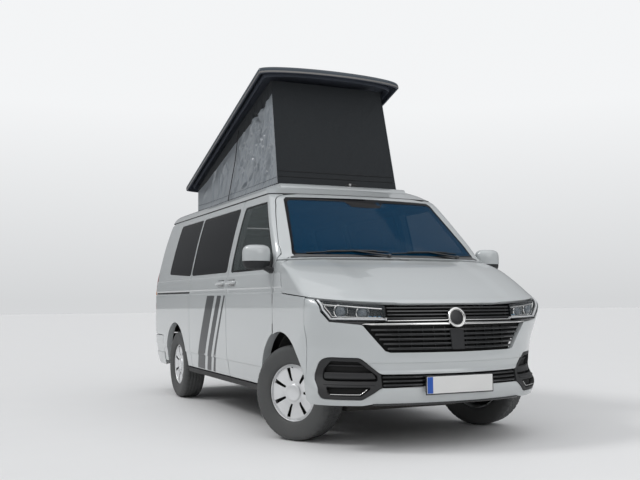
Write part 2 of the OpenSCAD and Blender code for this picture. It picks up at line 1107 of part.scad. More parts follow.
cushion_width = 500;
headrest_half = 130;
seat_x = door_front_x - 900;
module seat_profile() {
    polygon([[20, floor_top + seat_gap], [460, floor_top + seat_gap], [480, 780], [510, 890], [130, 870],
        [-30, 1480], [-155, 1460], [-10, 800]]);
}

module front_seats() {
    color("dimgray")
        both_sides()
            translate([seat_x, seat_y, 0]) {
                along_y(-cushion_width / 2, cushion_width / 2)
                    seat_profile();
                along_y(-headrest_half, headrest_half)
                    polygon([[-50, 1460], [-130, 1450], [-170, 1660], [-70, 1680]]);
            }
}

bench_half = 460;
bench_y = -180;
module rear_bench() {
    color("dimgray")
        translate([rear_axle_x + 456, bench_y, 0])
            along_y(-bench_half, bench_half)
                polygon([[0, floor_top + seat_gap], [520, floor_top + seat_gap], [530, 940],
                    [120, 920], [-40, 1560], [-160, 1540], [-10, 900]]);
}

cabinet_depth = 380;
cabinet_height = 780;
cabinet_front_x = slide_front_x - 88;
cabinet_rear_x = rear_axle_x + arch_radius + 196;
module kitchen_cabinet() {
    color("lightgray")
        translate([cabinet_rear_x, floor_half - cabinet_depth - 10, floor_top + seat_gap])
            cube([cabinet_front_x - cabinet_rear_x, cabinet_depth, cabinet_height]);
}

// Pop-up roof: lid, lifting arms and tent
lid_rear_height = roof_height + lid_rise;
lid_pin_along = 60;
lid_pin_up = 5;
lid_pin_x = lid_rear_x + lid_pin_along * cos(lid_slope) - lid_pin_up * sin(lid_slope);
lid_pin_z = lid_rear_height + lid_pin_along * sin(lid_slope) + lid_pin_up * cos(lid_slope);
arm_foot_z = roof_height + arm_foot_rise;
arm_length = (lid_pin_z - arm_foot_z) / sin(arm_angle);
arm_foot_x = lid_pin_x - arm_length * cos(arm_angle);
arm_y = 470;
arm_half = 9;
arm_depth = 30;
lug_half = 12;
lug_height = 76;
function lug_y(side) = arm_y + side * (arm_half + 1 + lug_half / 2) - lug_half / 2;

module lid_frame() {
    translate([lid_rear_x, 0, lid_rear_height])
        rotate([0, -lid_slope, 0])
            children();
}

module lid_loft(inset, drop) {
    loft(lid_layers, lid_length, 0, lid_width / 2, inset, drop);
}

module roof_lid() {
    color([0.06, 0.07, 0.09])
        lid_frame()
            difference() {
                union() {
                    difference() {
                        lid_loft(0, 0);
                        lid_loft(lid_skin, lid_skin);
                    }
                    both_sides()
                        for (side = [-1, 1])
                            translate([lid_pin_along - arm_depth / 2, lug_y(side),
                                lid_pin_up - arm_depth / 2])
                                cube([arm_depth, lug_half, lug_height]);
                }
                both_sides()
                    translate([-10, arm_y - arm_half - 8, -20])
                        cube([45, 2 * arm_half + 16, 75]);
                both_sides()
                    translate([lid_pin_along, arm_y, lid_pin_up])
                        rotate([90, 0, 0])
                            cylinder(d = arm_pin + 2 * seat_gap, h = 4 * (arm_half + lug_half),
                                center = true);
            }
}

// Brackets with the arms' foot pins, on the roof's rear
module roof_brackets() {
    color("dimgray")
        both_sides()
            translate([arm_foot_x, arm_y, 0]) {
                for (side = [-1, 1])
                    translate([-arm_depth / 2, lug_y(side) - arm_y, roof_height + seat_gap])
                        cube([arm_depth, lug_half, arm_foot_z + arm_pin - roof_height - seat_gap]);
                translate([0, 0, arm_foot_z])
                    rotate([90, 0, 0])
                        cylinder(d = arm_pin, h = 2 * (arm_half + lug_half + 1), center = true);
            }
}

module roof_arms() {
    color("dimgray")
        both_sides()
            translate([arm_foot_x, arm_y, arm_foot_z])
                rotate([90, -arm_angle, 0]) {
                    difference() {
                        translate([0, -arm_depth / 2, -arm_half])
                            cube([arm_length, arm_depth, 2 * arm_half]);
                        cylinder(d = arm_pin + 2 * seat_gap, h = 4 * arm_half, center = true);
                    }
                    translate([arm_length, 0, -arm_half - lug_half - 1])
                        cylinder(d = arm_pin, h = 2 * (arm_half + lug_half + 1));
                }
}

tent_half = 590;
tent_foot_z = roof_height + seat_gap;
tent_foot_front_x = lid_rear_x + 2579;
tent_rear_x = lid_rear_x + 119;
tent_lean = 0.242;
tent_headroom = 14;
function lid_underside(x) = lid_rear_height + (x - lid_rear_x) * tan(lid_slope) - tent_headroom;
function tent_front_x(z) = tent_foot_front_x - (z - tent_foot_z) * tent_lean;
tent_top_front_x = (tent_foot_front_x - tent_lean * (lid_underside(0) - tent_foot_z))
    / (1 + tent_lean * tan(lid_slope));
module tent_outline(inset, reach) {
    low = tent_foot_z - reach;
    high = lid_underside(tent_top_front_x) + reach;
    polygon([[tent_rear_x + inset, low], [tent_front_x(low) - inset, low],
        [tent_front_x(high) - inset, high], [tent_rear_x + inset, lid_underside(tent_rear_x) + reach]]);
}

module roof_tent() {
    color("gray")
        difference() {
            along_y(-tent_half, tent_half)
                tent_outline(0, 0);
            along_y(-tent_half + tent_wall, tent_half - tent_wall)
                tent_outline(tent_wall, 60);
        }
}

// Front door mirrors
// Columns: height, setback of the cap, depth of the rounded cap, inset of the ends,
// inset of the glass side, depth of the glass side's rounding
mirror_layers = [
    [0, 42, 40, 44, 22, 16],
    [6, 28, 52, 28, 12, 16],
    [18, 14, 62, 14, 5, 15],
    [41, 4, 72, 4, 1, 14],
    [76, 0, 78, 0, 0, 14],
    [116, 0, 78, 0, 0, 14],
    [148, 4, 74, 3, 1, 14],
    [168, 14, 64, 12, 4, 15],
    [179, 28, 52, 26, 11, 16],
    [185, 44, 38, 44, 22, 16]];
mirror_x = door_front_x - 55;
mirror_low = waist_height - 6;
mirror_reach = 1148;
mirror_half = 106;
mirror_front = 50;
mirror_rear = -66;
stalk_thick = 44;
module door_mirror(side) {
    color(paint)
        mirror([0, side < 0 ? 1 : 0, 0])
            difference() {
                union() {
                    translate([mirror_x, mirror_reach - mirror_half, mirror_low])
                        loft(mirror_layers, mirror_front, mirror_rear, mirror_half, 0, 0);
                    hull() {
                        translate([mirror_x - 10, mirror_reach - mirror_half - 20, mirror_low + 28])
                            sphere(d = stalk_thick, $fn = 24);
                        translate([mirror_x - 35, half_width - 40, mirror_low - 12])
                            sphere(d = stalk_thick, $fn = 24);
                        translate([mirror_x + 25, half_width - 40, mirror_low - 12])
                            sphere(d = stalk_thick, $fn = 24);
                    }
                }
                body_loft(-seat_gap, 0);
            }
}

module mirror_left() {
    door_mirror(1);
}

module mirror_right() {
    door_mirror(-1);
}

module bonnet() {
    color(paint)
        intersection() {
            body_shell(0, wing_wall);
            along_y(-far, far)
                bonnet_outline();
        }
}

module tailgate() {
    color(paint)
        difference() {
            union() {
                intersection() {
                    body_shell(0, skin);
                    along_x(-far, tailgate_inner_x)
                        tailgate_outline();
                }
                intersection() {
                    body_shell(skin - 1, wall);
                    along_x(-far, tailgate_inner_x)
                        grown(-flange)
                            tailgate_outline();
                }
            }
            along_x(-far, 0)
                rear_glass_outline();
        }
}

module rear_window() {
    color(tinted_glass)
        intersection() {
            body_shell(glass_depth, glass_depth + glass_thick);
            along_x(-far, 0)
                grown(-seat_gap)
                    rear_glass_outline();
        }
}

floor_pan();
side_sills();
roof_panel();
windscreen_frame();
windscreen();
side_wall_left();
side_wall_right();
side_windows();
sliding_door();
front_wings();
wheel_housings();
front_bumper();
grilles();
grille_trim();
headlamps();
tail_lamps();
rear_bumper();
engine_block();
exhaust();
fuel_tank();
front_subframe();
rear_subframe();
dashboard();
steering_wheel();
front_seats();
rear_bench();
kitchen_cabinet();
roof_tent();
roof_brackets();
hinge_pins();
slam_panel();
front_door_left();
front_door_right();
door_window_left();
door_window_right();
mirror_left();
mirror_right();
bonnet();
tailgate();
rear_window();
roof_arms();
roof_lid();
knuckle_left();
knuckle_right();
tyre_front_left();
tyre_front_right();
tyre_rear_left();
tyre_rear_right();
wheel_front_left();
wheel_front_right();
wheel_rear_left();
wheel_rear_right();
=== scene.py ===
import json
import math

import bmesh
import bpy
import numpy as np
from mathutils import Matrix, Vector
from mathutils.geometry import delaunay_2d_cdt


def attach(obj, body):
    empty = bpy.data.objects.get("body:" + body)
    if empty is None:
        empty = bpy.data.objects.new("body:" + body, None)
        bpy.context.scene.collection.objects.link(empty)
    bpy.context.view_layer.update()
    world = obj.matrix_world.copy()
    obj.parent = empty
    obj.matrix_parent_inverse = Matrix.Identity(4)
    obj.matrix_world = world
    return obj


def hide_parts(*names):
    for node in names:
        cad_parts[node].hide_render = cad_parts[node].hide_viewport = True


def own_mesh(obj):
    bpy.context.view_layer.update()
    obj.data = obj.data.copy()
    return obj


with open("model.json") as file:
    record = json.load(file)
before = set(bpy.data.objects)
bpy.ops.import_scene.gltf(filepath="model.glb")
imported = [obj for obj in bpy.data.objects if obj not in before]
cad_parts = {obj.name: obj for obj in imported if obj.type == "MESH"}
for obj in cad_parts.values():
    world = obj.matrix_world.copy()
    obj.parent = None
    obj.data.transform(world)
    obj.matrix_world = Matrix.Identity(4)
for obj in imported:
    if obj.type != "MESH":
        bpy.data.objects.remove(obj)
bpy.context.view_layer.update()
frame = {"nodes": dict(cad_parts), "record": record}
cad = frame["nodes"]
scene = bpy.context.scene
MM = 0.001
SIDES = ((1, "left"), (-1, "right"))

# Waterlines in millimetres. Each row has the height, the setback of the nose, the depth of its round,
# the inset of the sides, the inset of the tail and the depth of its round.
FRONT, REAR, HALF = 2452.0, -2452.0, 952.0
BODY_ROWS = [
    (300, 52, 450, 47, 52, 150), (400, 6, 480, 27, 14, 150), (520, 0, 640, 12, 0, 150),
    (660, 9, 608, 5, 8, 140), (860, 40, 425, 1, 20, 130), (975, 78, 335, 0, 26, 125),
    (1050, 192, 340, 0, 30, 120), (1150, 387, 300, 7, 36, 115), (1240, 602, 250, 17, 44, 112),
    (1324, 852, 226, 32, 54, 110), (1450, 994, 200, 59, 68, 105), (1600, 1164, 170, 95, 88, 100),
    (1750, 1334, 140, 137, 118, 95), (1850, 1452, 125, 169, 142, 92), (1900, 1572, 115, 189, 172, 90),
    (1940, 1662, 110, 222, 212, 88), (1970, 1737, 105, 282, 250, 86), (1990, 1790, 100, 340, 335, 84)]
LID_ROWS = [
    (0, 0, 90, 0, 0, 60), (25, 0, 90, 0, 0, 60), (48, 4, 90, 5, 4, 60), (64, 18, 92, 18, 16, 62),
    (78, 55, 95, 50, 45, 64), (88, 110, 100, 100, 90, 66), (96, 200, 110, 180, 160, 70),
    (102, 340, 130, 290, 280, 80), (105, 520, 150, 430, 460, 90)]
MIRROR_ROWS = [
    (0, 42, 40, 44, 22, 16), (6, 28, 52, 28, 12, 16), (18, 14, 62, 14, 5, 15), (41, 4, 72, 4, 1, 14),
    (76, 0, 78, 0, 0, 14), (116, 0, 78, 0, 0, 14), (148, 4, 74, 3, 1, 14), (168, 14, 64, 12, 4, 15),
    (179, 28, 52, 26, 11, 16), (185, 44, 38, 44, 22, 16)]


def unit(v):
    return v / (np.linalg.norm(v, axis=-1, keepdims=True) + 1e-12)


def smooth(z, a, b):
    t = np.clip((np.asarray(z, float) - a) / (b - a), 0, 1)
    return t * t * (3 - 2 * t)


class Waterlines:
    """Waterlines joined by a smooth curve through their rows."""

    def __init__(self, rows, front, rear, half):
        t = np.array(rows, float)
        self.z, self.y = t[:, 0], t[:, 1:]
        h = np.diff(self.z)
        d = np.diff(self.y, axis=0) / h[:, None]
        m = np.zeros_like(self.y)
        m[0], m[-1] = d[0], d[-1]
        for i in range(1, len(h)):
            w1, w2 = 2 * h[i] + h[i - 1], h[i] + 2 * h[i - 1]
            same = d[i - 1] * d[i] > 0
            a, b = np.where(same, d[i - 1], 1), np.where(same, d[i], 1)
            m[i] = np.where(same, (w1 + w2) / (w1 / a + w2 / b), 0)
        self.m, self.front, self.rear, self.half = m, front, rear, half

    def at(self, z):
        """Nose tip, nose depth, half width, tail tip and tail depth at a height."""
        z = np.clip(np.asarray(z, float), self.z[0], self.z[-1])
        i = np.clip(np.searchsorted(self.z, z, side="right") - 1, 0, len(self.z) - 2)
        h = (self.z[i + 1] - self.z[i])[..., None]
        t = (z - self.z[i])[..., None] / h
        c = ((1 + 2 * t) * (1 - t) ** 2 * self.y[i] + t * (1 - t) ** 2 * h * self.m[i]
             + t * t * (3 - 2 * t) * self.y[i + 1] + t * t * (t - 1) * h * self.m[i + 1])
        return self.front - c[..., 0], c[..., 1], self.half - c[..., 2], self.rear + c[..., 3], c[..., 4]


body = Waterlines(BODY_ROWS, FRONT, REAR, HALF)
STEP = 12.0  # millimetres of wrap per degree


def rounded(front):
    """The body from its wrap distance round the nose or the tail, left positive, and its height."""
    def surface(u, z):
        s = np.abs(u) / STEP
        a = np.radians(np.minimum(s, 90))
        run = np.maximum(s - 90, 0) * STEP
        xn, nd, half, xt, td = body.at(z)
        x = xn - nd + nd * np.cos(a) - run if front else xt + td - td * np.cos(a) + run
        return np.stack([x, np.sign(u) * half * np.sin(a), z], -1)
    return surface


nose, tail = rounded(True), rounded(False)


def wrap(kind, value, z, end):
    """Wrap distance of a point given by its x or its y."""
    xn, nd, half, xt, td = [float(v) for v in body.at(z)]
    if kind == "y":
        return STEP * math.degrees(math.asin(max(-1, min(1, value / half))))
    depth = nd if end is nose else td
    ahead = ((value - xn + nd) if end is nose else (xt + td - value)) / depth
    return STEP * math.degrees(math.acos(min(1, ahead))) if ahead > 0 else STEP * 90 - ahead * depth


def fillet(points, radius, parts=5):
    """A polygon with rounded corners. radius is one number or one for each corner."""
    n = len(points)
    out = []
    for i, r in enumerate(np.broadcast_to(radius, n)):
        p, a, b = (np.array(points[j % n], float) for j in (i, i - 1, i + 1))
        la, lb = np.linalg.norm(a - p), np.linalg.norm(b - p)
        va, vb = (a - p) / la, (b - p) / lb
        half_angle = math.acos(max(-1, min(1, float(va @ vb)))) / 2
        cut = min(r / max(math.tan(half_angle), 1e-3), 0.45 * la, 0.45 * lb)
        ts = np.linspace(0, 1, parts + 1) if cut >= 0.5 else ()
        out += [tuple(p + va * cut * (1 - t) ** 2 + vb * cut * t ** 2) for t in ts] or [tuple(p)]
    return out


def xs(*points):
    return [("x", *p) for p in points]


def ys(*points):
    return [("y", *p) for p in points]


def trace(points, end, side=1, step=28, kind=None, radius=0):
    """A closed outline on the body. Points are (kind, value, z), or (value, z) with one kind for all."""
    if np.any(radius):
        points = fillet(points, radius)
    if kind:
        points = [(kind, *p) for p in points]
    out = []
    for p, q in zip(points, points[1:] + points[:1]):
        alike = p[0] == q[0]
        n = max(1 if alike else 4, math.ceil(math.hypot(p[1] - q[1] if alike else 0, p[2] - q[2]) / step))
        u0, u1 = wrap(*p, end), wrap(*q, end)
        for t in np.arange(n) / n:
            z = p[2] + (q[2] - p[2]) * t
            out.append((wrap(p[0], p[1] + (q[1] - p[1]) * t, z, end) if alike else u0 + (u1 - u0) * t, z))
    return [(side * u, z) for u, z in out]


def whole(points, end, step=28):
    """A symmetrical outline from its left half, given from the middle at the top round to the middle below."""
    left = trace(points, end, step=step)
    goal = (wrap(*points[-1], end), points[-1][2])
    left = left[:next(i for i, p in enumerate(left) if np.allclose(p, goal, 0, 1e-6)) + 1]
    return left + [(-u, z) for u, z in reversed(left) if abs(u) > 1e-6]


def on_side(points, side, radius=0, end=nose):
    return trace(points, end, side, kind="x", radius=radius)


def spaced(loop, gap=2.4):
    """The loop without points that crowd others."""
    out = [loop[0]]
    for p in loop[1:]:
        if math.dist(p, out[-1]) > gap:
            out.append(p)
    return out[:-1] if math.dist(out[0], out[-1]) < gap else out


def shrink(loop, amount):
    """A loop moved to its inner side by a distance."""
    p = np.array(loop, float)
    after = np.roll(p, -1, 0)
    ahead = unit(after - p)
    t = unit(ahead + np.roll(ahead, 1, 0))
    area = np.sum(p[:, 0] * after[:, 1] - after[:, 0] * p[:, 1])
    inward = np.stack([-t[:, 1], t[:, 0]], 1) * np.sign(area)
    miter = 1 / np.clip(np.sum(t * ahead, 1), 0.5, 1)
    return [tuple(q) for q in p + inward * amount * miter[:, None]]


def inside(points, loops):
    """Even-odd test of points against closed loops."""
    p = np.asarray(points, float)
    hit = np.zeros(len(p), bool)
    for loop in loops:
        for (x0, y0), (x1, y1) in zip(loop, loop[1:] + loop[:1]):
            if y0 != y1:
                cross = (y0 > p[:, 1]) != (y1 > p[:, 1])
                hit ^= cross & (p[:, 0] < (x1 - x0) * (p[:, 1] - y0) / (y1 - y0) + x0)
    return hit


def near_loops(points, loops, gap):
    near = np.zeros(len(points), bool)
    for q in np.concatenate(loops):
        near |= np.all(np.abs(points - q) < gap, axis=1)
    return near


def cross_rows(loop, rows):
    """The loop with a point wherever it crosses one of the heights."""
    out = []
    for p, q in zip(loop, loop[1:] + loop[:1]):
        out.append(p)
        cuts = [(z - p[1]) / (q[1] - p[1]) for z in rows if (p[1] - z) * (q[1] - z) < 0]
        out += [(p[0] + (q[0] - p[0]) * t, p[1] + (q[1] - p[1]) * t) for t in sorted(cuts)]
    return out


def normals_on(surface, uv):
    """Outward normals of a surface."""
    u, z = uv[:, 0], uv[:, 1]
    n = unit(np.cross(surface(u + 1, z) - surface(u - 1, z), surface(u, z + 1) - surface(u, z - 1)))
    p = surface(u, z)
    core = np.stack([np.clip(p[:, 0], -1400, 1000), p[:, 1] * 0, np.full(len(p), 800.0)], 1)
    out = getattr(surface, "out", p - core)
    return n * np.where(np.sum(n * out, 1) < 0, -1, 1)[:, None]


def settle(uz, end):
    """Places on the body and their normals, from wrap distances and heights."""
    uz = np.array(uz, float)
    return end(uz[:, 0], uz[:, 1]), normals_on(end, uz)


def settle_y(points, end=nose):
    """Places on the body and their normals, from (y, z)."""
    return settle([(wrap("y", y, z, end), z) for y, z in points], end)


def sharp(profile, pinch):
    """A profile with each corner doubled, so that a turned shape keeps its edges crisp."""
    p = [np.array(q, float) for q in profile]
    out = [p[0]]
    for a, b, c in zip(p, p[1:], p[2:]):
        out += [b + (v - b) * min(0.45, pinch / (np.linalg.norm(v - b) + 1e-9)) for v in (a, c)]
    return np.array(out + [p[-1]])


def arc(cx, cz, r, a0, a1, parts=20):
    return [(cx + r * math.cos(a), cz + r * math.sin(a)) for a in np.radians(np.linspace(a0, a1, parts + 1))]


def add_object(name, mesh):
    obj = bpy.data.objects.new(name, mesh)
    scene.collection.objects.link(obj)
    return obj


def new_mesh(name, points, faces, mats):
    mesh = bpy.data.meshes.new(name)
    mesh.from_pydata((np.asarray(points) * MM).tolist(), [], faces)
    for m in mats:
        mesh.materials.append(M[m])
    mesh.polygons.foreach_set("use_smooth", [True] * len(faces))
    return mesh


def place(obj, body_name="body", replaced=()):
    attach(obj, body_name)
    if replaced:
        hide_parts(*replaced)
    return obj


class Shell:
    """Collects faces with their corner normals and makes one mesh of them."""

    def __init__(self):
        self.v, self.f, self.n, self.m, self.count = [], [], [], [], 0

    def points(self, p):
        first = self.count
        self.v.append(np.asarray(p, float).reshape(-1, 3))
        self.count += len(self.v[-1])
        return first

    def face(self, ids, normals, mat=0):
        self.f.append(list(ids))
        self.n.append(np.asarray(normals, float))
        self.m.append(mat)

    def mesh(self, name, mats):
        v = np.concatenate(self.v)
        faces, corners = [], []
        for ids, n in zip(self.f, self.n):
            a, b, c = v[ids[:3]]
            way = -1 if np.dot(np.cross(b - a, c - a), n.mean(0)) < 0 else 1
            faces.append(ids[::way])
            corners.append(n[::way])
        mesh = new_mesh(name, v, faces, mats)
        mesh.polygons.foreach_set("material_index", self.m)
        mesh.normals_split_custom_set(unit(np.concatenate(corners)).tolist())
        mesh.update()
        return mesh

    def place(self, name, mats, body_name="body", replaced=(), slot="dark_plastic"):
        return place(add_object(name, self.mesh(name, mats)), body_name, replaced)

    def band(self, low, high, low_n, high_n, mat):
        """Faces between two closed loops of point numbers."""
        for i in range(len(low)):
            j = (i + 1) % len(low)
            self.face([low[i], low[j], high[j], high[i]], [low_n[i], low_n[j], high_n[j], high_n[i]], mat)

    def lattice(self, grid, n, mat=0, closed=True, gaps=()):
        """Faces over rows of points. A row that is one point makes triangles, and gaps are left open."""
        rows, cols = grid.shape[:2]
        first = self.points(grid)
        pole = np.ptp(grid, axis=1).max(1) < 1e-6
        for r in range(rows - 1):
            for k in range(cols if closed else cols - 1):
                if (r, k) in gaps:
                    continue
                j = (k + 1) % cols
                corners = [(r, k), (r, j), (r + 1, j), (r + 1, k)]
                if pole[r] or pole[r + 1]:
                    corners.pop(1 if pole[r] else 2)
                self.face([first + a * cols + b for a, b in corners], [n[c] for c in corners], mat)

    def panel(self, loops, surface, depth, roll=2.5, step=42, lift=0.0, mats=0, rows=()):
        """A closed panel: outer face, rolled edge and inner face, with one material number or one for each.
        rows are heights that get points of their own, where the surface has a crease."""
        mats = mats if isinstance(mats, tuple) else (mats,) * 3
        loops = [spaced(cross_rows(l, rows)) for l in loops]
        loops = [shrink(l, -roll if i else roll) for i, l in enumerate(loops)]
        pts, edges, firsts = np.concatenate(loops), [], []
        for l in loops:
            firsts.append(len(edges))
            edges += [(firsts[-1] + i, firsts[-1] + (i + 1) % len(l)) for i in range(len(l))]
        lo, hi = pts.min(0), pts.max(0)
        gu, gz = np.meshgrid(*(np.arange(lo[i] + step / 2, hi[i], step) for i in (0, 1)))
        grid = np.stack([gu.ravel(), gz.ravel()], 1)
        keep = inside(grid, loops) & ~near_loops(grid, loops, step * 0.55)
        for z in rows:
            keep &= np.abs(grid[:, 1] - z) > 6
        grid = grid[keep]
        for z in rows:
            u = np.arange(lo[0] + 9, hi[0], 30.0)
            line = np.stack([u, np.full(len(u), float(z))], 1)
            line = line[inside(line, loops) & ~near_loops(line, loops, 7)]
            grid = np.concatenate([grid, line])
        uv, _, tris, olds, _, _ = delaunay_2d_cdt([Vector(p) for p in (*pts, *grid)], edges, [], 0, 1e-4)
        number = {old: new for new, several in enumerate(olds) for old in several}
        uv, tris = np.array([tuple(v) for v in uv]), [list(f) for f in tris]
        n = normals_on(surface, uv)
        p = surface(uv[:, 0], uv[:, 1]) + n * lift
        top, low = self.points(p), self.points(p - n * depth)
        for f, held in zip(tris, inside([uv[f].mean(0) for f in tris], loops)):
            if held:
                self.face([top + i for i in f], n[f], mats[0])
                self.face([low + i for i in f], -n[f], mats[2])
        for first, l in zip(firsts, loops):
            ids = [number[first + i] for i in range(len(l))]
            q, nq, flat = p[ids], n[ids], np.array(l)
            d = unit(np.cross(unit(np.roll(q, -1, 0) - np.roll(q, 1, 0)), nq))
            t = np.roll(flat, -1, 0) - np.roll(flat, 1, 0)
            away = unit(np.stack([t[:, 1], -t[:, 0]], 1))
            if inside(flat + away * 0.8, loops).mean() > 0.5:
                away = -away
            if np.sum(d * (surface(*(flat + away).T) - surface(*flat.T))) < 0:
                d = -d
            now, now_n = [top + i for i in ids], nq
            for a in np.radians((30, 60, 90)):
                ring_at = self.points(q + d * roll * math.sin(a) - nq * roll * (1 - math.cos(a)))
                then, then_n = range(ring_at, ring_at + len(ids)), nq * math.cos(a) + d * math.sin(a)
                self.band(now, then, now_n, then_n, mats[0] if now_n is nq else mats[1])
                now, now_n = then, then_n
            self.band(now, [low + i for i in ids], d, d, mats[1])

    def strip(self, points, end=nose, surface=None, depth=10, roll=2.5, lift=0.0, mat=0, step=30, side=1):
        """A small panel from (y, z) points."""
        self.panel([trace(points, end, side, kind="y")], surface or end, depth, roll, step, lift, mat)

    def bar(self, half, low, high, **options):
        self.strip([(-half, low), (half, low), (half, high), (-half, high)], **options)

    def skin(self, grid, centre, mat=0, closed=True, sense=1, gaps=()):
        """A smooth skin over rows of points. Normals point away from the centre, or to it with sense -1."""
        g = np.asarray(grid, float)
        du = np.roll(g, -1, 1) - np.roll(g, 1, 1) if closed else np.gradient(g, axis=1)
        n = unit(np.cross(du, np.gradient(g, axis=0)))
        self.lattice(g, -n if np.sum(n * (g - centre)) * sense < 0 else n, mat, closed, gaps)

    def cap(self, loop, normal, mat=0):
        m = len(loop)
        first = self.points(np.concatenate([loop, [np.mean(loop, 0)]]))
        for k in range(m):
            self.face([first + k, first + (k + 1) % m, first + m], [normal] * 3, mat)

    def tube(self, path, radius, sides=10, mat=0, flat=1.0):
        """A round bar along a path, with capped ends. flat squeezes it along its second cross direction."""
        p = np.asarray(path, float)
        t = unit(np.gradient(p, axis=0))
        e1 = unit(np.cross((0, 0, 1) if abs(t[0, 2]) < 0.9 else (0, 1, 0), t))
        e2 = np.cross(t, e1)
        a = np.linspace(0, 2 * math.pi, sides, endpoint=False)[:, None]
        arms = np.cos(a) * e1[:, None] + flat * np.sin(a) * e2[:, None]
        rings = p[:, None] + np.broadcast_to(radius, len(p))[:, None, None] * arms
        self.lattice(rings, unit(rings - p[:, None]), mat)
        self.cap(rings[0], -t[0], mat)
        self.cap(rings[-1], t[-1], mat)

    def lathe(self, profile, origin, axis, count=48, mat=0, sense=1, pinch=0.8):
        """A turned shape: profile of (radius, along) about an axis through the origin."""
        pr = sharp(profile, pinch) if pinch else np.array(profile, float)
        axis = unit(np.array(axis, float))
        e1 = unit(np.cross((0, 0, 1) if abs(axis[2]) < 0.9 else (1, 0, 0), axis))
        a = np.linspace(0, 2 * math.pi, count, endpoint=False)[:, None]
        arms = np.cos(a) * e1 + np.sin(a) * np.cross(axis, e1)
        r, h = pr.T[..., None, None]
        dr, dh = np.gradient(pr, axis=0).T[..., None, None]
        self.lattice(np.asarray(origin, float) + r * arms + h * axis, unit(dr * axis - dh * arms) * sense, mat)


def sheet_metal(name, loops, surface, depth, mats, replaced=(), body_name="body", slot="paint", **options):
    """One panel as a piece of its own. mats are for its outer face, edge and inner face."""
    shell = Shell()
    shell.panel(loops, surface, depth, mats=(0, 1, 2), **options)
    return shell.place(name, (mats,) * 3 if isinstance(mats, str) else mats, body_name, replaced, slot)


def block(name, size, at, radius, mat, body_name="body"):
    """A box with rounded edges."""
    bm = bmesh.new()
    bmesh.ops.create_cube(bm, size=1)
    bmesh.ops.scale(bm, vec=size, verts=bm.verts)
    bmesh.ops.bevel(bm, geom=list(bm.edges), offset=radius, segments=3, profile=0.5, affect="EDGES")
    mesh = bpy.data.meshes.new(name)
    bm.to_mesh(mesh)
    bm.free()
    mesh.polygons.foreach_set("use_smooth", [True] * len(mesh.polygons))
    mesh.materials.append(M[mat])
    mesh.transform(Matrix.Scale(MM, 4) @ Matrix.Translation(at))
    place(add_object(name, mesh), body_name)


# Shader groups shared by the finishes
def new_group(name, inputs, outputs):
    g = bpy.data.node_groups.new(name, "ShaderNodeTree")
    kinds = {True: "NodeSocketColor", False: "NodeSocketFloat"}
    for label, value in inputs.items():
        socket = g.interface.new_socket(label, in_out="INPUT", socket_type=kinds[isinstance(value, tuple)])
        socket.default_value = value
    for label in outputs:
        g.interface.new_socket(label, in_out="OUTPUT", socket_type=kinds[label == "Color"])
    return g, g.nodes.new("NodeGroupInput").outputs, g.nodes.new("NodeGroupOutput").inputs


def node(tree, kind, inputs=None, **settings):
    """A node with its settings and inputs. An input is a value or a socket to link."""
    n = tree.nodes.new(kind)
    for k, v in settings.items():
        setattr(n, k, v)
    for k, v in (inputs or {}).items():
        if isinstance(v, bpy.types.NodeSocket):
            tree.links.new(v, n.inputs[k])
        else:
            n.inputs[k].default_value = v
    return n


def calc(tree, operation, *inputs, clamp=False):
    return node(tree, "ShaderNodeMath", dict(enumerate(inputs)), operation=operation, use_clamp=clamp).outputs[0]


def noise(tree, at, scale, detail):
    return node(tree, "ShaderNodeTexNoise", {"Vector": at, "Scale": scale, "Detail": detail}).outputs["Fac"]


def object_place(tree):
    at = node(tree, "ShaderNodeTexCoord").outputs["Object"]
    return at, node(tree, "ShaderNodeSeparateXYZ", {0: at}).outputs


GREY = (0.5, 0.5, 0.5, 1)


def make_grain():
    """Fine grain: a colour that varies softly, a roughness that varies with it and a bump height."""
    g, i, o = new_group("surface_grain", {"Color": GREY, "Variation": 0.1, "Scale": 200.0, "Roughness": 0.5,
                                          "Roughness Spread": 0.1}, ("Color", "Roughness", "Height"))
    at = node(g, "ShaderNodeTexCoord").outputs["Object"]
    fine = noise(g, at, i["Scale"], 3.0)
    gain = calc(g, "MULTIPLY_ADD", calc(g, "SUBTRACT", noise(g, at, 2.3, 2.0), 0.5), i["Variation"], 1.0)
    tone = node(g, "ShaderNodeHueSaturation", {"Value": gain, "Color": i["Color"]})
    rough = calc(g, "MULTIPLY_ADD", calc(g, "SUBTRACT", fine, 0.5), i["Roughness Spread"], i["Roughness"])
    for label, socket in (("Color", tone.outputs[0]), ("Roughness", rough), ("Height", fine)):
        g.links.new(socket, o[label])
    return g


def make_road_dust():
    """Dust that thins out with height above the road."""
    g, i, o = new_group("road_dust", {"Color": GREY, "Roughness": 0.4, "Dust": (0.30, 0.28, 0.25, 1), "Amount": 0.3,
                                      "Top": 0.9}, ("Color", "Roughness"))
    at, split = object_place(g)
    down = node(g, "ShaderNodeMapRange", {"Value": split["Z"], "From Min": 0.15, "From Max": i["Top"], "To Min": 1.0,
                                          "To Max": 0.0}).outputs[0]
    amount = calc(g, "MULTIPLY", calc(g, "MULTIPLY", down, noise(g, at, 5.5, 5.0)), i["Amount"], clamp=True)
    mix = node(g, "ShaderNodeMix", {0: amount}, data_type="RGBA")
    g.links.new(i["Color"], mix.inputs[6])
    g.links.new(i["Dust"], mix.inputs[7])
    g.links.new(mix.outputs[2], o["Color"])
    g.links.new(calc(g, "MULTIPLY_ADD", amount, 0.5, i["Roughness"], clamp=True), o["Roughness"])
    return g


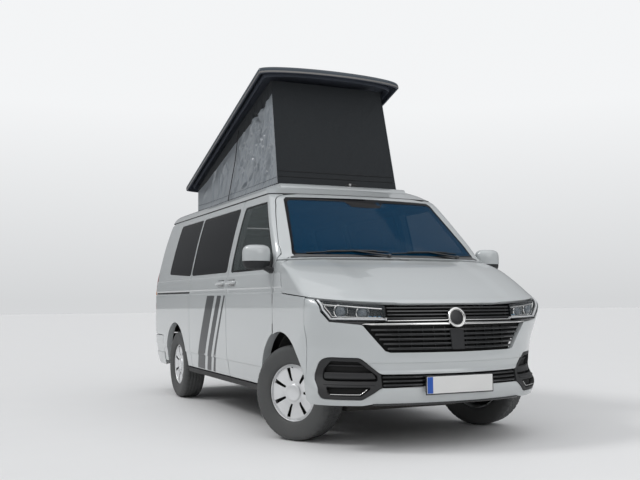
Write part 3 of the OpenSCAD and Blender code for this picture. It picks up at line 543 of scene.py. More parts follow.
def make_weave():
    """The height of a plain weave."""
    g, i, o = new_group("plain_weave", {"Pitch": 0.0012}, ("Height",))
    turns = calc(g, "DIVIDE", 2 * math.pi, i["Pitch"])
    at, split = object_place(g)
    waves = [calc(g, "SINE", calc(g, "MULTIPLY", along, turns))
             for along in (calc(g, "ADD", split["X"], split["Y"]), split["Z"])]
    g.links.new(calc(g, "MULTIPLY_ADD", calc(g, "MULTIPLY", *waves), 0.5, 0.5), o["Height"])
    return g


GRAIN, DUST, WEAVE = make_grain(), make_road_dust(), make_weave()


def finish(name, color, rough, spread=0.1, variation=0.12, scale=300.0, bump=0.0, depth=0.0004, metal=0.0, coat=0.0,
           coat_rough=0.05, dust=0.0, dust_top=0.9, sheen=0.0, weave=0.0, alpha=1.0, glare=0.5):
    """A finish with grain, road dust and weave as asked."""
    m = bpy.data.materials.new(name)
    m.use_nodes = True
    t = m.node_tree
    b = t.nodes["Principled BSDF"]
    m.diffuse_color = rgb = (*color, 1.0)
    top = grain = node(t, "ShaderNodeGroup", {"Color": rgb, "Variation": variation, "Scale": scale, "Roughness": rough,
                                              "Roughness Spread": spread}, node_tree=GRAIN)
    if dust:
        top = node(t, "ShaderNodeGroup", {"Color": grain.outputs["Color"], "Roughness": grain.outputs["Roughness"],
                                          "Amount": dust, "Top": dust_top}, node_tree=DUST)
    t.links.new(top.outputs["Color"], b.inputs["Base Color"])
    t.links.new(top.outputs["Roughness"], b.inputs["Roughness"])
    if bump:
        relief_from = node(t, "ShaderNodeGroup", {"Pitch": weave}, node_tree=WEAVE) if weave else grain
        k = node(t, "ShaderNodeBump", {"Strength": bump, "Distance": depth, "Height": relief_from.outputs["Height"]})
        t.links.new(k.outputs[0], b.inputs["Normal"])
    for label, value in (("Metallic", metal), ("IOR", 1.5), ("Coat Weight", coat), ("Coat Roughness", coat_rough),
                         ("Sheen Weight", sheen), ("Alpha", alpha), ("Specular IOR Level", glare)):
        b.inputs[label].default_value = value
    return m


def glass(color, alpha, glare, rough=0.03):
    """Values of window glass: a tinted, glossy pane that lets part of the cabin show through."""
    return dict(color=color, rough=rough, spread=0.01, variation=0.05, scale=40, alpha=alpha, glare=glare)


# Key, name, colour, roughness, its spread, colour variation, grain scale, bump and other values
FINISHES = [
    ("paint", "body_paint", (0.512, 0.538, 0.545), 0.30, 0.03, 0.03, 900, 0.02,
     dict(depth=0.0002, coat=1.0, coat_rough=0.03, dust=0.16, dust_top=0.75)),
    ("lid", "lid_shell", (0.010, 0.024, 0.040), 0.36, 0.06, 0.10, 500, 0.03, dict(coat=0.3, coat_rough=0.10)),
    ("lid_under", "lid_lining", (0.055, 0.064, 0.084), 0.75, 0.1, 0.2, 200, 0.1, {}),
    ("lid_rim", "lid_rim_line", (0.20, 0.195, 0.19), 0.34, 0.05, 0.12, 300, 0, dict(metal=0.3)),
    ("black", "grained_black_plastic", (0.012, 0.013, 0.015), 0.60, 0.15, 0.2, 1500, 0.18,
     dict(depth=0.0003, dust=0.12, dust_top=0.8)),
    ("gloss_black", "gloss_black_trim", (0.008, 0.009, 0.010), 0.12, 0.04, 0.12, 300, 0, dict(coat=0.5)),
    ("rubber", "seal_rubber", (0.012, 0.012, 0.013), 0.65, 0.1, 0.1, 800, 0.1, {}),
    ("liner", "arch_liner_felt", (0.010, 0.010, 0.011), 0.9, 0.1, 0.3, 700, 0.4, dict(dust=0.3)),
    ("chrome", "bright_plating", (0.80, 0.80, 0.79), 0.08, 0.04, 0.02, 300, 0, dict(metal=1.0)),
    ("steel", "plain_steel", (0.38, 0.38, 0.38), 0.38, 0.2, 0.1, 250, 0, dict(metal=0.9)),
    ("chassis", "underbody_coating", (0.022, 0.022, 0.023), 0.75, 0.2, 0.3, 120, 0.4,
     dict(depth=0.001, dust=0.4, dust_top=0.7)),
    ("casting", "rough_casting", (0.13, 0.13, 0.13), 0.6, 0.2, 0.2, 350, 0.4, dict(depth=0.0008, metal=0.7, dust=0.3)),
    ("cabin", "cabin_plastic", (0.022, 0.023, 0.025), 0.62, 0.12, 0.1, 1400, 0.2, dict(depth=0.0003)),
    ("trim_grey", "cabin_lining", (0.20, 0.20, 0.19), 0.75, 0.1, 0.08, 900, 0.15, {}),
    ("board", "cabinet_board", (0.42, 0.42, 0.40), 0.42, 0.06, 0.06, 60, 0.03, {}),
    ("tyre", "tyre_rubber", (0.060, 0.063, 0.065), 0.66, 0.15, 0.2, 500, 0.15, dict(dust=0.14, dust_top=0.6)),
    ("wheel", "wheel_cover_silver", (0.80, 0.81, 0.82), 0.30, 0.06, 0.04, 1200, 0.03,
     dict(metal=0.35, coat=0.4, dust=0.12, dust_top=0.6)),
    ("slot", "slot_shadow", (0.004, 0.004, 0.004), 0.8, 0.1, 0.12, 300, 0, {}),
    ("reflector", "lamp_reflector", (0.75, 0.77, 0.78), 0.12, 0.05, 0.12, 300, 0, dict(metal=1.0)),
    ("lamp_white", "lamp_light_guide", (0.72, 0.73, 0.74), 0.2, 0.05, 0.12, 300, 0, dict(coat=0.6)),
    ("lamp_blue", "lamp_blue_glass", (0.10, 0.22, 0.36), 0.08, 0.03, 0.12, 300, 0, dict(coat=0.8)),
    ("lens_ball", "projector_glass", (0.10, 0.12, 0.14), 0.04, 0.02, 0.12, 300, 0, dict(coat=1.0)),
    ("lamp_dark", "lamp_housing", (0.010, 0.011, 0.013), 0.35, 0.1, 0.12, 300, 0, {}),
    ("red", "red_lamp_lens", (0.28, 0.006, 0.008), 0.12, 0.03, 0.12, 300, 0, dict(coat=0.8)),
    ("amber", "amber_lamp_lens", (0.55, 0.18, 0.01), 0.15, 0.03, 0.12, 300, 0, dict(coat=0.6)),
    ("tent", "tent_cloth_grey", (0.250, 0.275, 0.300), 0.34, 0.12, 0.06, 160, 0.12,
     dict(weave=0.0016, coat=0.45, coat_rough=0.16, sheen=0.1)),
    # Black cloth of the front panel and the stitches; on the side panels the same finish is painted shade, the lid's
    # shadow along their top.
    ("tent_front", "tent_cloth_black", (0.007, 0.010, 0.013), 0.72, 0.12, 0.15, 60, 0.2,
     dict(weave=0.0016, sheen=0.03)),
    ("seat", "seat_cloth", (0.035, 0.036, 0.038), 0.9, 0.1, 0.2, 200, 0.5, dict(weave=0.0022, depth=0.0006, sheen=0.3)),
    ("stripe", "stripe_film", (0.026, 0.030, 0.033), 0.38, 0.05, 0.06, 300, 0, dict(coat=0.2)),
    ("plate", "blank_plate", (0.72, 0.72, 0.71), 0.4, 0.08, 0.03, 300, 0.03, {}),
    ("plate_blue", "plate_band", (0.015, 0.09, 0.42), 0.4, 0.08, 0.12, 300, 0, {}),
    ("floor", "studio_floor", (0.80, 0.80, 0.80), 0.6, 0.05, 0.02, 50, 0, {})]
M = {key: finish(*values, **more) for key, *values, more in FINISHES}
M |= {key: finish(name, **values) for key, name, values in (
    ("screen", "windscreen_glass", glass((0.002, 0.040, 0.092), 0.70, 0.07)),
    ("door_glass", "door_glass", glass((0.040, 0.056, 0.056), 0.50, 0.45)),
    ("dark_glass", "privacy_glass", glass((0.005, 0.006, 0.008), 0.95, 0.09)),
    ("frit", "glass_edge_print", glass((0.004, 0.004, 0.005), 1.0, 0.10, 0.06)),
    ("lens", "lamp_lens", glass((0.30, 0.34, 0.36), 0.05, 0.6)))}
LINED, BACKED = ("paint", "paint", "trim_grey"), ("paint", "paint", "black")

# Sides pressed with a belt groove, a waist ledge and a lower crease
RELIEF_ROWS = (484, 492, 500, 1056, 1062, 1068, 1092, 1098, 1104, 1204, 1212, 1220)


def pressed(end):
    def surface(u, z):
        p = end(u, z)
        relief = (7 * (smooth(z, 1056, 1068) - smooth(z, 1092, 1104)) + 7 * (1 - smooth(z, 484, 500))
                  + 6 * smooth(z, 1204, 1220))
        p[..., 1] -= np.sign(u) * relief * np.clip((np.abs(u) / STEP - 60) / 30, 0, 1)
        return p
    return surface


side_front, side_rear = pressed(nose), pressed(tail)


def pane(name, outer, inner, surface, mat, body_name, replaced, slot, inset=3.0, edge=2.5, step=50, depth=5, lift=-2.2):
    """Window glass with a printed black border, just below the painted skin."""
    shell = Shell()
    shell.panel([shrink(outer, inset)], surface, depth, 1.2, step, lift, (0, 1, 0))
    shell.panel([shrink(outer, edge), inner], surface, depth + 2, 0.6, step, lift + 0.8, 1)
    shell.place(name, [mat, "frit"], body_name, [replaced], slot)


def window(name, outline, side, mat, body_name, replaced, end=nose, border=26, radius=38):
    loop = on_side(outline, side, radius, end)
    surface = side_front if end is nose else side_rear
    pane(name, loop, shrink(loop, border), surface, mat, body_name, replaced, mat, 4, 3, 60)


PILLAR_FOOT, PILLAR_LEAN, DOOR_FRONT, DOOR_REAR, LOW, TOP, CANT = 1349.0, 0.949, 1400.0, 285.0, 352.0, 1872.0, 1878.7
FRONT_AXLE, REAR_AXLE, ARCH_Z, ARCH, SKIN = 1544.0, -1456.0, 375.0, 400.0, 62


def pillar_x(z):
    return DOOR_FRONT - (z - PILLAR_FOOT) * PILLAR_LEAN


door_cut = arc(FRONT_AXLE, ARCH_Z, ARCH + 14, 183.2, 110.4)
DOOR = [(DOOR_REAR, LOW), *door_cut, (DOOR_FRONT, 900), (DOOR_FRONT, PILLAR_FOOT), (pillar_x(TOP), TOP),
        (DOOR_REAR, TOP)]
DOOR_ROUND = [14] + [0] * len(door_cut) + [0, 60, 40, 14]
DOOR_GLASS = [(347, 1240), (1338, 1240), (1338, 1318), (887, 1805), (359, 1805)]
SLIDE_DOOR = [(-902, LOW), (278, LOW), (278, TOP), (-902, TOP)]
SLIDE_GLASS = [(-889, 1246), (238, 1246), (238, 1812), (-889, 1812)]
QUARTER_GLASS = [(-1800, 1284), (-922, 1246), (-922, 1812), (-1752, 1812)]
for side, word in SIDES:
    sheet_metal("door_skin_" + word, [on_side(DOOR, side, DOOR_ROUND), on_side(DOOR_GLASS, side, 34)], side_front, SKIN,
                LINED, ["front_door_" + word], "door_" + word, rows=RELIEF_ROWS)
    window("door_pane_" + word, DOOR_GLASS, side, "door_glass", "door_" + word, "door_window_" + word, border=16,
           radius=34)

# Sliding door on the right, the same panel shape fixed in the left wall
sheet_metal("sliding_door_skin", [on_side(SLIDE_DOOR, -1, 18), on_side(SLIDE_GLASS, -1, 44)], side_front, SKIN, LINED,
            ["sliding_door"], rows=RELIEF_ROWS)


def gate_y(z):
    return float(np.interp(z, (640, 1010, 1500, 1879), (782, 813, 767, 697)))


def side_wall(front_x):
    """Outline of a rear side wall: arch, bumper notch, tailgate edge and lamp notch."""
    cut = arc(REAR_AXLE, ARCH_Z, ARCH, 180 + 3.3, -3.3, 30)
    return (xs((front_x, LOW), *cut[::-1], (-1969, LOW), (-1969, 627)) + ys(*((gate_y(z), z) for z in (640, 880)))
            + xs((-2292, 893), (-2292, 1337)) + ys(*((gate_y(z), z) for z in (1345, 1500, 1700, CANT)))
            + xs((front_x, CANT)))


for side, word, front_x in ((1, "left", 278.0), (-1, "right", -909.0)):
    holes = [on_side(shape, side, 44, tail) for shape in (QUARTER_GLASS, SLIDE_GLASS)[:2 if side > 0 else 1]]
    sheet_metal("side_skin_" + word, [trace(side_wall(front_x), tail, side), *holes], side_rear, SKIN, LINED,
                ["side_wall_" + word], rows=RELIEF_ROWS)
    for name, shape in (("quarter_pane_", QUARTER_GLASS), ("centre_pane_", SLIDE_GLASS)):
        window(name + word, shape, side, "dark_glass", "body", "side_windows", tail)

# Windscreen and its frame
screen = whole(ys((0, 1848), (664, 1841), (689, 1818), (806, 1354), (792, 1335), (0, 1330)), nose)
frame_half = ys((0, CANT)) + xs(*((pillar_x(z) + 4.5, z) for z in (CANT, 1800, 1700, 1600, 1500, 1400, PILLAR_FOOT)))
frame_half += xs((1407, 1335), (1407, 1308), (1498, 1309)) + ys((500, 1319), (0, 1321))
sheet_metal("pillars_and_header", [whole(frame_half, nose), screen], side_front, 46, LINED,
            ["windscreen_frame"], step=36)
clear = whole(ys((0, 1762), (130, 1766), (180, 1814), (642, 1816), (668, 1800), (782, 1380), (0, 1370)), nose)
pane("windscreen_pane", screen, clear, nose, "screen", "body", "windscreen", "screen_glass", step=44, depth=6,
     lift=-2.0)


# Bonnet, wings and bumper
def bonnet_form(u, z):
    """The nose with two soft ridges that run up the bonnet."""
    p = nose(u, z)
    p[..., 2] -= 7 * (1 - smooth(np.abs(p[..., 1]), 470, 610)) * smooth(z, 985, 1040)
    return p


def front_face(u, z):
    """The nose with a crease across the bumper's painted band."""
    p = nose(u, z)
    side = 1 - np.clip((np.abs(u) / STEP - 40) / 30, 0, 1)
    p[..., 0] -= side * (9 * (1 - smooth(z, 580, 592)) * smooth(z, 515, 545) + 12 * (1 - smooth(z, 500, 515)))
    return p


BONNET = (ys((0, 1312), (500, 1310)) + xs((1508, 1300), (1524, 1256), (1600, 1058), (2011, 1030), (2330, 985))
          + ys((380, 979), (0, 978)))
sheet_metal("bonnet_skin", [whole(BONNET, nose, 20)], bonnet_form, 26, "paint", ["bonnet"], "bonnet_lid", step=24,
            roll=3)
WING = [(1407, 1300), *arc(FRONT_AXLE, ARCH_Z, ARCH, 110.1, 1.0, 26), (1953, 384), (1959, 560), (1994, 760),
        (2008, 1016), (2004, 1023), (1594, 1050), (1500, 1298)]
for side, word in SIDES:
    sheet_metal("wing_skin_" + word, [on_side(WING, side)], side_front, 30, BACKED, ["front_wings"], rows=RELIEF_ROWS,
                step=36)
BUMPER = (ys((0, 652), (480, 654), (512, 664), (652, 832), (662, 838), (846, 858), (900, 926), (916, 1012))
          + xs((2014, 1018), (1998, 760), (1963, 560), (1950, 420), (1944, 330), (1990, 303))
          + ys((640, 303), (590, 312), (0, 316)))
POD_EDGE = fillet([(0, 512), (540, 512), (662, 620), (864, 624), (892, 470), (892, 384), (872, 344), (652, 342),
                   (545, 423), (0, 424)], [0, 50, 60, 62, 60, 40, 36, 46, 40, 0])
sheet_metal("bumper_skin", [whole(BUMPER, nose), whole(ys(*POD_EDGE), nose)], front_face, 34, BACKED, ["front_bumper"],
            rows=(500, 515, 530, 545, 580, 586, 592), step=34)

# Grilles, pods and intake: a dark back with slats in front of it
GRILLE = ys((0, 971), (501, 970), (501, 860), (648, 838), (506, 664), (480, 656), (0, 654))
POD = [(538, 512), *(p for p in POD_EDGE if p[0] > 538), (538, 424)]
POD_UPPER = [(566, 502), (672, 592), (818, 596), (848, 540), (856, 470), (566, 468)]
POD_LOWER = [(604, 430), (664, 366), (832, 366), (852, 388), (856, 430)]
INTAKE = ys((0, 513), (540, 513), (534, 424), (0, 423))
BACK, SOFT_BLACK, POD_BLACK, BRIGHT = 1, 2, 3, 4
shell = Shell()
shell.panel([whole(GRILLE, nose)], nose, 8, 1.0, 40, -40, BACK)
for z in 876 + 23.5 * np.arange(4):
    shell.bar(497, z, z + 12, depth=30, roll=4.5, lift=-7)
for z in 672 + 31 * np.arange(5):
    shell.bar(499 + (z - 658) / 180 * 149 - 8, z, z + 16, depth=30, roll=5.5, lift=-8)
for y in 84 * np.arange(-5, 6):
    shell.strip([(y - 3, 668), (y + 3, 668), (y + 3, 828), (y - 3, 828)], depth=14, roll=1.5, lift=-24)
shell.strip([(-52, 668), (52, 668), (56, 806), (-56, 806)], depth=20, roll=4, lift=-3, mat=SOFT_BLACK)
for side in (1, -1):
    pod, upper, lower = (trace(shape, nose, side, 24, "y", r)
                         for shape, r in ((POD, 0), (POD_UPPER, 16), (POD_LOWER, 12)))
    shell.panel([shrink(pod, 1.5), upper, lower], nose, 30, 5, 26, -3, POD_BLACK)
    shell.panel([pod], nose, 8, 1, 40, -36, BACK)
    for shape, depth, roll, lift in (([(562, 481), (853, 481), (850, 523), (588, 523)], 24, 9, -9),
                                     ([(640, 560), (834, 561), (832, 571), (652, 570)], 14, 3, -24),
                                     ([(580, 443), (862, 443), (862, 456), (580, 456)], 10, 4, 1)):
        shell.strip(shape, depth=depth, roll=roll, lift=lift, mat=POD_BLACK, side=side)
    hook = [(side * y, 377.0) for y in np.linspace(838, 674, 18)]
    hook += [(side * y, z) for y, z in zip(np.linspace(670, 634, 8), np.linspace(380, 418, 8))]
    p, n = settle_y(hook)
    shell.tube(p - 12 * n, 2.6, 8, BRIGHT)
shell.panel([whole(INTAKE, nose)], nose, 8, 1, 40, -38, BACK)
for z in (436, 462, 488):
    shell.bar(536, z, z + 13, depth=26, roll=4.5, lift=-9)
shell.bar(588, 300.5, 314, depth=60, roll=4, lift=-2)
shell.place("front_grilles", ["gloss_black", "slot", "black", "black", "chrome"], replaced=["grilles"])

# Bright strips and a plain ringed disc
shell = Shell()
for side in (1, -1):
    shell.strip([(50, 862), (499, 861), (499, 868), (50, 869)], depth=12, roll=3, lift=2, side=side)
    shell.strip([(50, 834), (600, 836), (668, 843), (640, 848), (50, 850)], depth=12, roll=5, lift=4, side=side)
BOSS, BOSS_AXIS = settle_y([(0, 880)])[0][0], settle_y([(0, 874)])[1][0]
shell.lathe([(0, 14), (52, 13), (54, 10), (56, 19), (61, 22), (67, 20), (70, 14), (70, -16)], BOSS, BOSS_AXIS, 64)
shell.place("bright_strips", ["chrome"], replaced=["grille_trim"], slot="bright_trim")
shell = Shell()
shell.lathe([(0, 17.5), (30, 16.5), (50, 13.6), (52.5, 12.4), (52.5, 5)], BOSS, BOSS_AXIS, 56)
shell.place("disc_face", ["lamp_dark"])

# Headlamps: housing, bright surround, two projectors, a row of lights and the lens
LAMP = [(506, 864), (506, 968), (700, 986), (905, 1013), (908, 1002), (894, 930), (846, 866)]
LAMP_FOOT = [(506, 864), (700, 865), (846, 866), (894, 930), (908, 1002)]
BROW = [(520, 955), (700, 972), (880, 998), (886, 990), (700, 962), (520, 945)]
WEDGE = [(508, 860), (846, 862), (900, 926), (903, 934), (888, 900), (852, 858), (664, 842), (650, 852)]
DARK, WHITE, RING, BALL, BLUE = range(5)
for side, word in SIDES:
    shell = Shell()
    loop = trace(LAMP, nose, side, 22, "y", [6, 8, 0, 6, 6, 14, 14])
    shell.panel([loop], nose, 8, 1, 34, -64, DARK)
    shell.panel([shrink(loop, 1.5), shrink(loop, 6)], nose, 60, 0.8, 34, -4, DARK)
    foot = trace(LAMP_FOOT, nose, side, 16, "y")
    p, n = settle(foot[:next(i for i, p in enumerate(foot) if p[1] > 996) + 1], nose)
    inward = np.array([0, -side * 7.0, 9.0])
    shell.tube(p - n * 12 + inward, 8.5, 10, WHITE)
    shell.tube(p - n * 30 + inward * 2.2, 5.0, 8, RING)
    shell.panel([trace(BROW, nose, side, 20, "y")], nose, 20, 2, 30, -22, RING)
    for y, z, r in ((636, 916, 40), (770, 930, 42)):
        at, axis = settle_y([(side * y, z)])[0][0] + [-66.0, side * -8, 0], (0.97, side * 0.20, 0.0)
        shell.lathe([(r + 8, -6), (r + 9, 18), (r + 3, 22), (r, 12), (r - 5, 4)], at, axis, 36, RING, -1)
        shell.lathe([(0, 30), (r * 0.3, 28.8), (r * 0.55, 25), (r * 0.76, 18), (r * 0.86, 8), (r * 0.88, 0)],
                    at, axis, 32, BALL, pinch=0)
        shell.lathe([(r - 4, 3), (r * 0.86, -2), (r * 0.5, -4)], at, axis, 32, DARK, -1, 0)
    for y in (524, 554, 584):
        at = settle_y([(side * y, 885)])[0][0] + [-46.0, 0, 0]
        shell.lathe([(0, 6), (9, 5), (11, 1), (12, -10)], at, (1, side * 0.1, 0), 16, BLUE, pinch=0.6)
    shell.place("headlamp_inside_" + word, ["lamp_dark", "lamp_white", "chrome", "lens_ball", "lamp_blue"],
                replaced=["headlamps"], slot="lamp_glass")
    sheet_metal("headlamp_lens_" + word, [shrink(loop, 1)], nose, 4, "lens", ["headlamps"], slot="lamp_glass", roll=1.5,
                lift=-0.6, step=34)
    sheet_metal("lamp_wedge_" + word, [trace(WEDGE, nose, side, 22, "y", 2)], nose, 26, "gloss_black",
                slot="dark_plastic", roll=1.5, lift=-3, step=30)


# Blank plates in black holders
def plate(name, x, z, forward, body_name):
    for part, size, back, y, radius, mat, slot in (
            ("holder", (6, 536, 128), 5, 0, 2.5, "gloss_black", "dark_plastic"),
            ("sheet", (3, 520, 112), 1.6, 0, 1.2, "plate", "furniture"),
            ("band", (1.6, 44, 108), 0.4, -236, 0.6, "plate_blue", "lid_paint")):
        block(f"{name}_{part}", size, (x - forward * back, forward * y, z), radius, mat, body_name)


plate("front_plate", 2451.5, 438, 1, "body")

# Wipers and the black cowl at the foot of the screen
COWL = ys((0, 1346), (640, 1346), (782, 1350), (800, 1338)) + xs((1470, 1315)) + ys((500, 1322), (0, 1324))
shell = Shell()
shell.panel([whole(COWL, nose)], nose, 10, 2, 30, 1.5)
for y0, y1 in ((-705, -40), (-20, 610)):
    t = np.linspace(0, 1, 14)
    p, n = settle_y(zip(y0 + (y1 - y0) * t, 1355 + 15 * np.sin(math.pi * t * 0.7)))
    shell.tube(p + n * 5, 4.5, 8)
    shell.tube(p[3:12] + n[3:12] * 13, 5.5, 8)
    (foot,), (out,) = settle_y([(y1 - 20, 1330.0)])
    foot = foot + out * 14
    shell.tube(np.linspace(foot, p[7] + n[7] * 15, 8), 6.5, 8)
    shell.lathe([(0, 10), (13, 8), (16, -6)], foot, out, 16)
shell.place("wipers_and_cowl", ["gloss_black"])


# Side trim: handles, sliding rail and slanted stripes
def door_handle(name, x, side, body_name):
    y = side * (float(body.at(1150)[2]) - 1)
    block(name + "_cup", (150, 8, 56), (x, y, 1152), 3.9, "gloss_black", body_name)
    shell = Shell()
    bow = ((-112, 0, 9), (-106, 12, 11), (-92, 20, 12), (-50, 23, 12), (0, 24, 12))
    bow += tuple((-dx, dy, r) for dx, dy, r in bow[-2::-1])
    shell.tube([(x + dx, y + side * dy, 1156) for dx, dy, _ in bow], [r for _, _, r in bow], 12, 0, 1.35)
    shell.place(name + "_grip", ["paint"], body_name, slot="paint")


for side, word in SIDES:
    door_handle("front_handle_" + word, 420, side, "door_" + word)
door_handle("slide_handle", 130, -1, "body")
RAIL = [(-2250, 1071), (-915, 1071), (-915, 1089), (-2250, 1089)]
sheet_metal("slide_rail", [on_side(RAIL, -1, 4, tail)], side_rear, 5, "gloss_black", slot="dark_plastic", lift=2,
            roll=1.5)
STRIPE_LOW, STRIPE_HIGH, STRIPE_LEAN, STRIPE_END = 360, 1046, 0.62, 262
for side, word in SIDES:
    shell = Shell()
    over = STRIPE_LEAN * (STRIPE_HIGH - STRIPE_LOW)
    for foot_x, width in ((-700, 230), (-390, 120), (-200, 60)):
        quad = [(foot_x, STRIPE_LOW), (foot_x + width, STRIPE_LOW), (foot_x + width + over, STRIPE_HIGH),
                (foot_x + over, STRIPE_HIGH)]
        quad = [(min(x, STRIPE_END), z) for x, z in quad]
        shell.panel([on_side(quad, side, 3)], side_front, 0.7, 0.15, 36, 0.75, 0, RELIEF_ROWS[:3])
    shell.place("slanted_stripes_" + word, ["stripe"])


# Roof: skin from the cant rail to the hatch, a fairing in front of the tent and a catch
def ring(lines, z, ends=12, sides=22, grow=0.0, slots=None):
    """One waterline as a loop of points. slots gives it points at the edges of two slots in its tail."""
    xn, nd, half, xt, td = [float(v) for v in lines.at(z)]
    xn, half, xt = xn + grow, half + grow, xt - grow
    a = np.radians(np.linspace(-90, 90, 2 * ends + 1))
    b = a[::-1]
    if slots:
        near, far = (math.asin(min(y / half, most)) for y, most in zip(slots, (0.86, 0.92)))
        b = np.concatenate([np.linspace(0, near, 9), np.linspace(far, math.pi / 2, 9)])
        b = np.concatenate([b[::-1], -b[1:]])
    along = np.linspace(xn - nd, xt + td, sides + 1)[1:-1]
    left = np.stack([along, np.full(len(along), half)], 1)
    flat = np.concatenate([np.stack([xn - nd + nd * np.cos(a), half * np.sin(a)], 1), left,
                           np.stack([xt + td - td * np.cos(b), half * np.sin(b)], 1), left[::-1] * [1, -1]])
    return np.concatenate([flat, np.full((len(flat), 1), float(z))], 1)


HATCH_REAR, HATCH_FRONT, HATCH_HALF, ROOF_FOOT = -1700.0, 470.0, 560.0, CANT + 0.5
rings = [ring(body, z) for z in (ROOF_FOOT, 1886, 1893, *range(1900, 1971, 10), 1978, 1984, 1988, 1990)]
edge = rings[-1]
hatch = np.clip(edge, (HATCH_REAR, -HATCH_HALF, -np.inf), (HATCH_FRONT, HATCH_HALF, np.inf))
along = (hatch[:, 0] > HATCH_REAR + 1) & (hatch[:, 0] < HATCH_FRONT - 1)
hatch[along, 1] = np.sign(edge[along, 1]) * HATCH_HALF
foot, sunk = ring(body, ROOF_FOOT, grow=-18), hatch + [0, 0, -46.0]
shell = Shell()
shell.skin([foot, ring(body, ROOF_FOOT, grow=-2)], (0, 0, 2500), 1)
shell.skin(rings + [(edge * 2 + hatch) / 3, (edge + 2 * hatch) / 3, hatch], (-700, 0, 1500))
shell.skin([hatch, sunk], (-600, 0, 1970), 1, sense=-1)
shell.skin([sunk, ring(body, 1930, grow=-46) + [0, 0, 14.3], foot], (-700, 0, 2500), 1)
shell.place("roof_skin", ["paint", "trim_grey"], replaced=["roof_panel"], slot="paint")

FAIR_HALF, FAIR_FOOT = 604.0, 1951.0
s = np.linspace(-1, 1, 41)
y, bow, lip_z = s * FAIR_HALF, 34 * s * s * 0.6, 1991 + 9.5 * (1 - smooth(np.abs(s), 0.90, 1.0))
tip, depth, half = body.at(FAIR_FOOT)[:3]
x = tip - depth * (1 - np.cos(np.arcsin(np.minimum(0.99, np.abs(y) / half))))
rows = [np.stack([x_row, y, z_row + 0 * y], 1) for x_row, z_row in (
    (x + 3, FAIR_FOOT), (x - 4, FAIR_FOOT + 8), (x - 52 + bow, 1990), (624 - bow, lip_z), (612 - bow, lip_z),
    (610 - bow, 1988))]
shell = Shell()
for part in (rows[:4], rows[3:5], rows[4:]):
    shell.skin(part, (600, 0, 1800), closed=False)
for k, way in ((0, -1), (-1, 1)):
    shell.cap([row[k] for row in rows], (0, way, 0))
shell.place("roof_fairing", ["paint"], slot="paint")

CATCH_X, CATCH_Y = 646.0, 84.0
shell = Shell()
shell.lathe([(0, 44), (15, 42), (22, 35), (23, 16), (36, 9), (38, -12)], (CATCH_X, CATCH_Y, 1988), (0.55, 0, 0.83), 24)
grip = [(2, -64, 1988), (14, -42, 2004), (18, 0, 2010), (14, 42, 2004), (2, 64, 1988)]
shell.tube(np.array(grip) + [CATCH_X, CATCH_Y, 0], [11, 16, 17, 16, 11], 12)
shell.lathe([(0, 9), (10, 7), (13, 0), (13, -8)], (CATCH_X + 32, CATCH_Y - 24, 2010), (0.9, 0, 0.44), 20, 1)
shell.place("roof_catch", ["rubber", "steel"])
shell = Shell()
seal = ring(body, CANT - 2, grow=-3.0)
shell.tube(np.concatenate([seal, seal[:1]]), 4.2, 8)
shell.place("cant_seal", ["rubber"])

# Pop-up lid: a smooth shell in its own frame, raised as in the photograph, slotted for the lifting arms
LID_AT, LID_SLOPE, LID_LENGTH, LID_HALF, LID_SKIN = np.array([-1999.0, 0, 2218.8]), 17.55, 2640.0, 702.0, 16.0
SLOT_EDGES, LID_ENDS, LID_SIDES = (453.0, 487.0), 16, 26
lid_lines = Waterlines(LID_ROWS, LID_LENGTH, 0.0, LID_HALF)


def lid_frame(p):
    p = np.asarray(p, float)
    c, s = math.cos(math.radians(LID_SLOPE)), math.sin(math.radians(LID_SLOPE))
    return np.stack([c * p[..., 0] - s * p[..., 2], p[..., 1], s * p[..., 0] + c * p[..., 2]], -1) + LID_AT


def lid_ring(z, grow=0.0):
    return ring(lid_lines, z, LID_ENDS, LID_SIDES, grow, SLOT_EDGES)


def lid_skin(shell, rows, centre, mat, sense=1, slot_rows=0, closed=True):
    gaps = {(r, k) for r in range(slot_rows) for k in slots_at}
    shell.skin(lid_frame(rows), lid_frame(centre), mat, closed, sense, gaps)


ABOVE, MIDST, BELOW = (1320, 0, 900.0), (1320, 0, 0.0), (1320, 0, -900.0)
outer = [lid_ring(z) for z in (16, 25, 33, 41, 48, 56, 64, 71, 78, 84, 88, 92, 96, 99, 102, 103.9, 104.8)]
rim = [lid_ring(16), lid_ring(11), lid_ring(5), lid_ring(0.5, -3.0)]
inner = [lid_ring(z, -LID_SKIN) for z in (0, 20, 40, 60, 72, 80, 86, 89)]
crown, under = ([rows[-1] * k + rows[-1].mean(0) * (1 - k) for k in (1, 0.5, 0.02)] for rows in (outer, inner))
first_slot = 2 * LID_ENDS + LID_SIDES + 8
slots_at = (first_slot, first_slot + 17)
shell = Shell()
lid_skin(shell, outer, BELOW, 0, slot_rows=5)
lid_skin(shell, crown, BELOW, 0)
lid_skin(shell, rim, ABOVE, 1, slot_rows=3)
lid_skin(shell, [rim[-1], inner[0] + [0, 0, 0.5]], ABOVE, 2, slot_rows=1)
lid_skin(shell, inner, BELOW, 2, -1, 3)
lid_skin(shell, under, BELOW, 2, -1)
for k in slots_at:
    for edge, way in ((k, 1), (k + 1, -1)):
        wall = np.array([r[edge] for r in rim[::-1] + outer[1:6]])
        lining = np.array([r[edge] for r in inner[:4]])
        lining = np.stack([np.interp(np.linspace(0, 1, 9), np.linspace(0, 1, 4), c) for c in lining.T], 1)
        lid_skin(shell, [wall, lining], wall[0] + [0, 300.0 * way, 0], 2, closed=False)
    lid_skin(shell, [outer[5][k:k + 2], inner[3][k:k + 2]], ABOVE, 2, closed=False)
shell.place("lid_shell", ["lid", "lid_rim", "lid_under"], "pop_lid", ["roof_lid"], "lid_paint")
shell = Shell()
hang = [lid_ring(*at) for at in ((86, -60), (60, -58), (30, -62), (2, -70))]
lid_skin(shell, hang, MIDST, 0)
lid_skin(shell, [hang[-1], lid_ring(4, -76), lid_ring(60, -72)], MIDST, 0, -1)
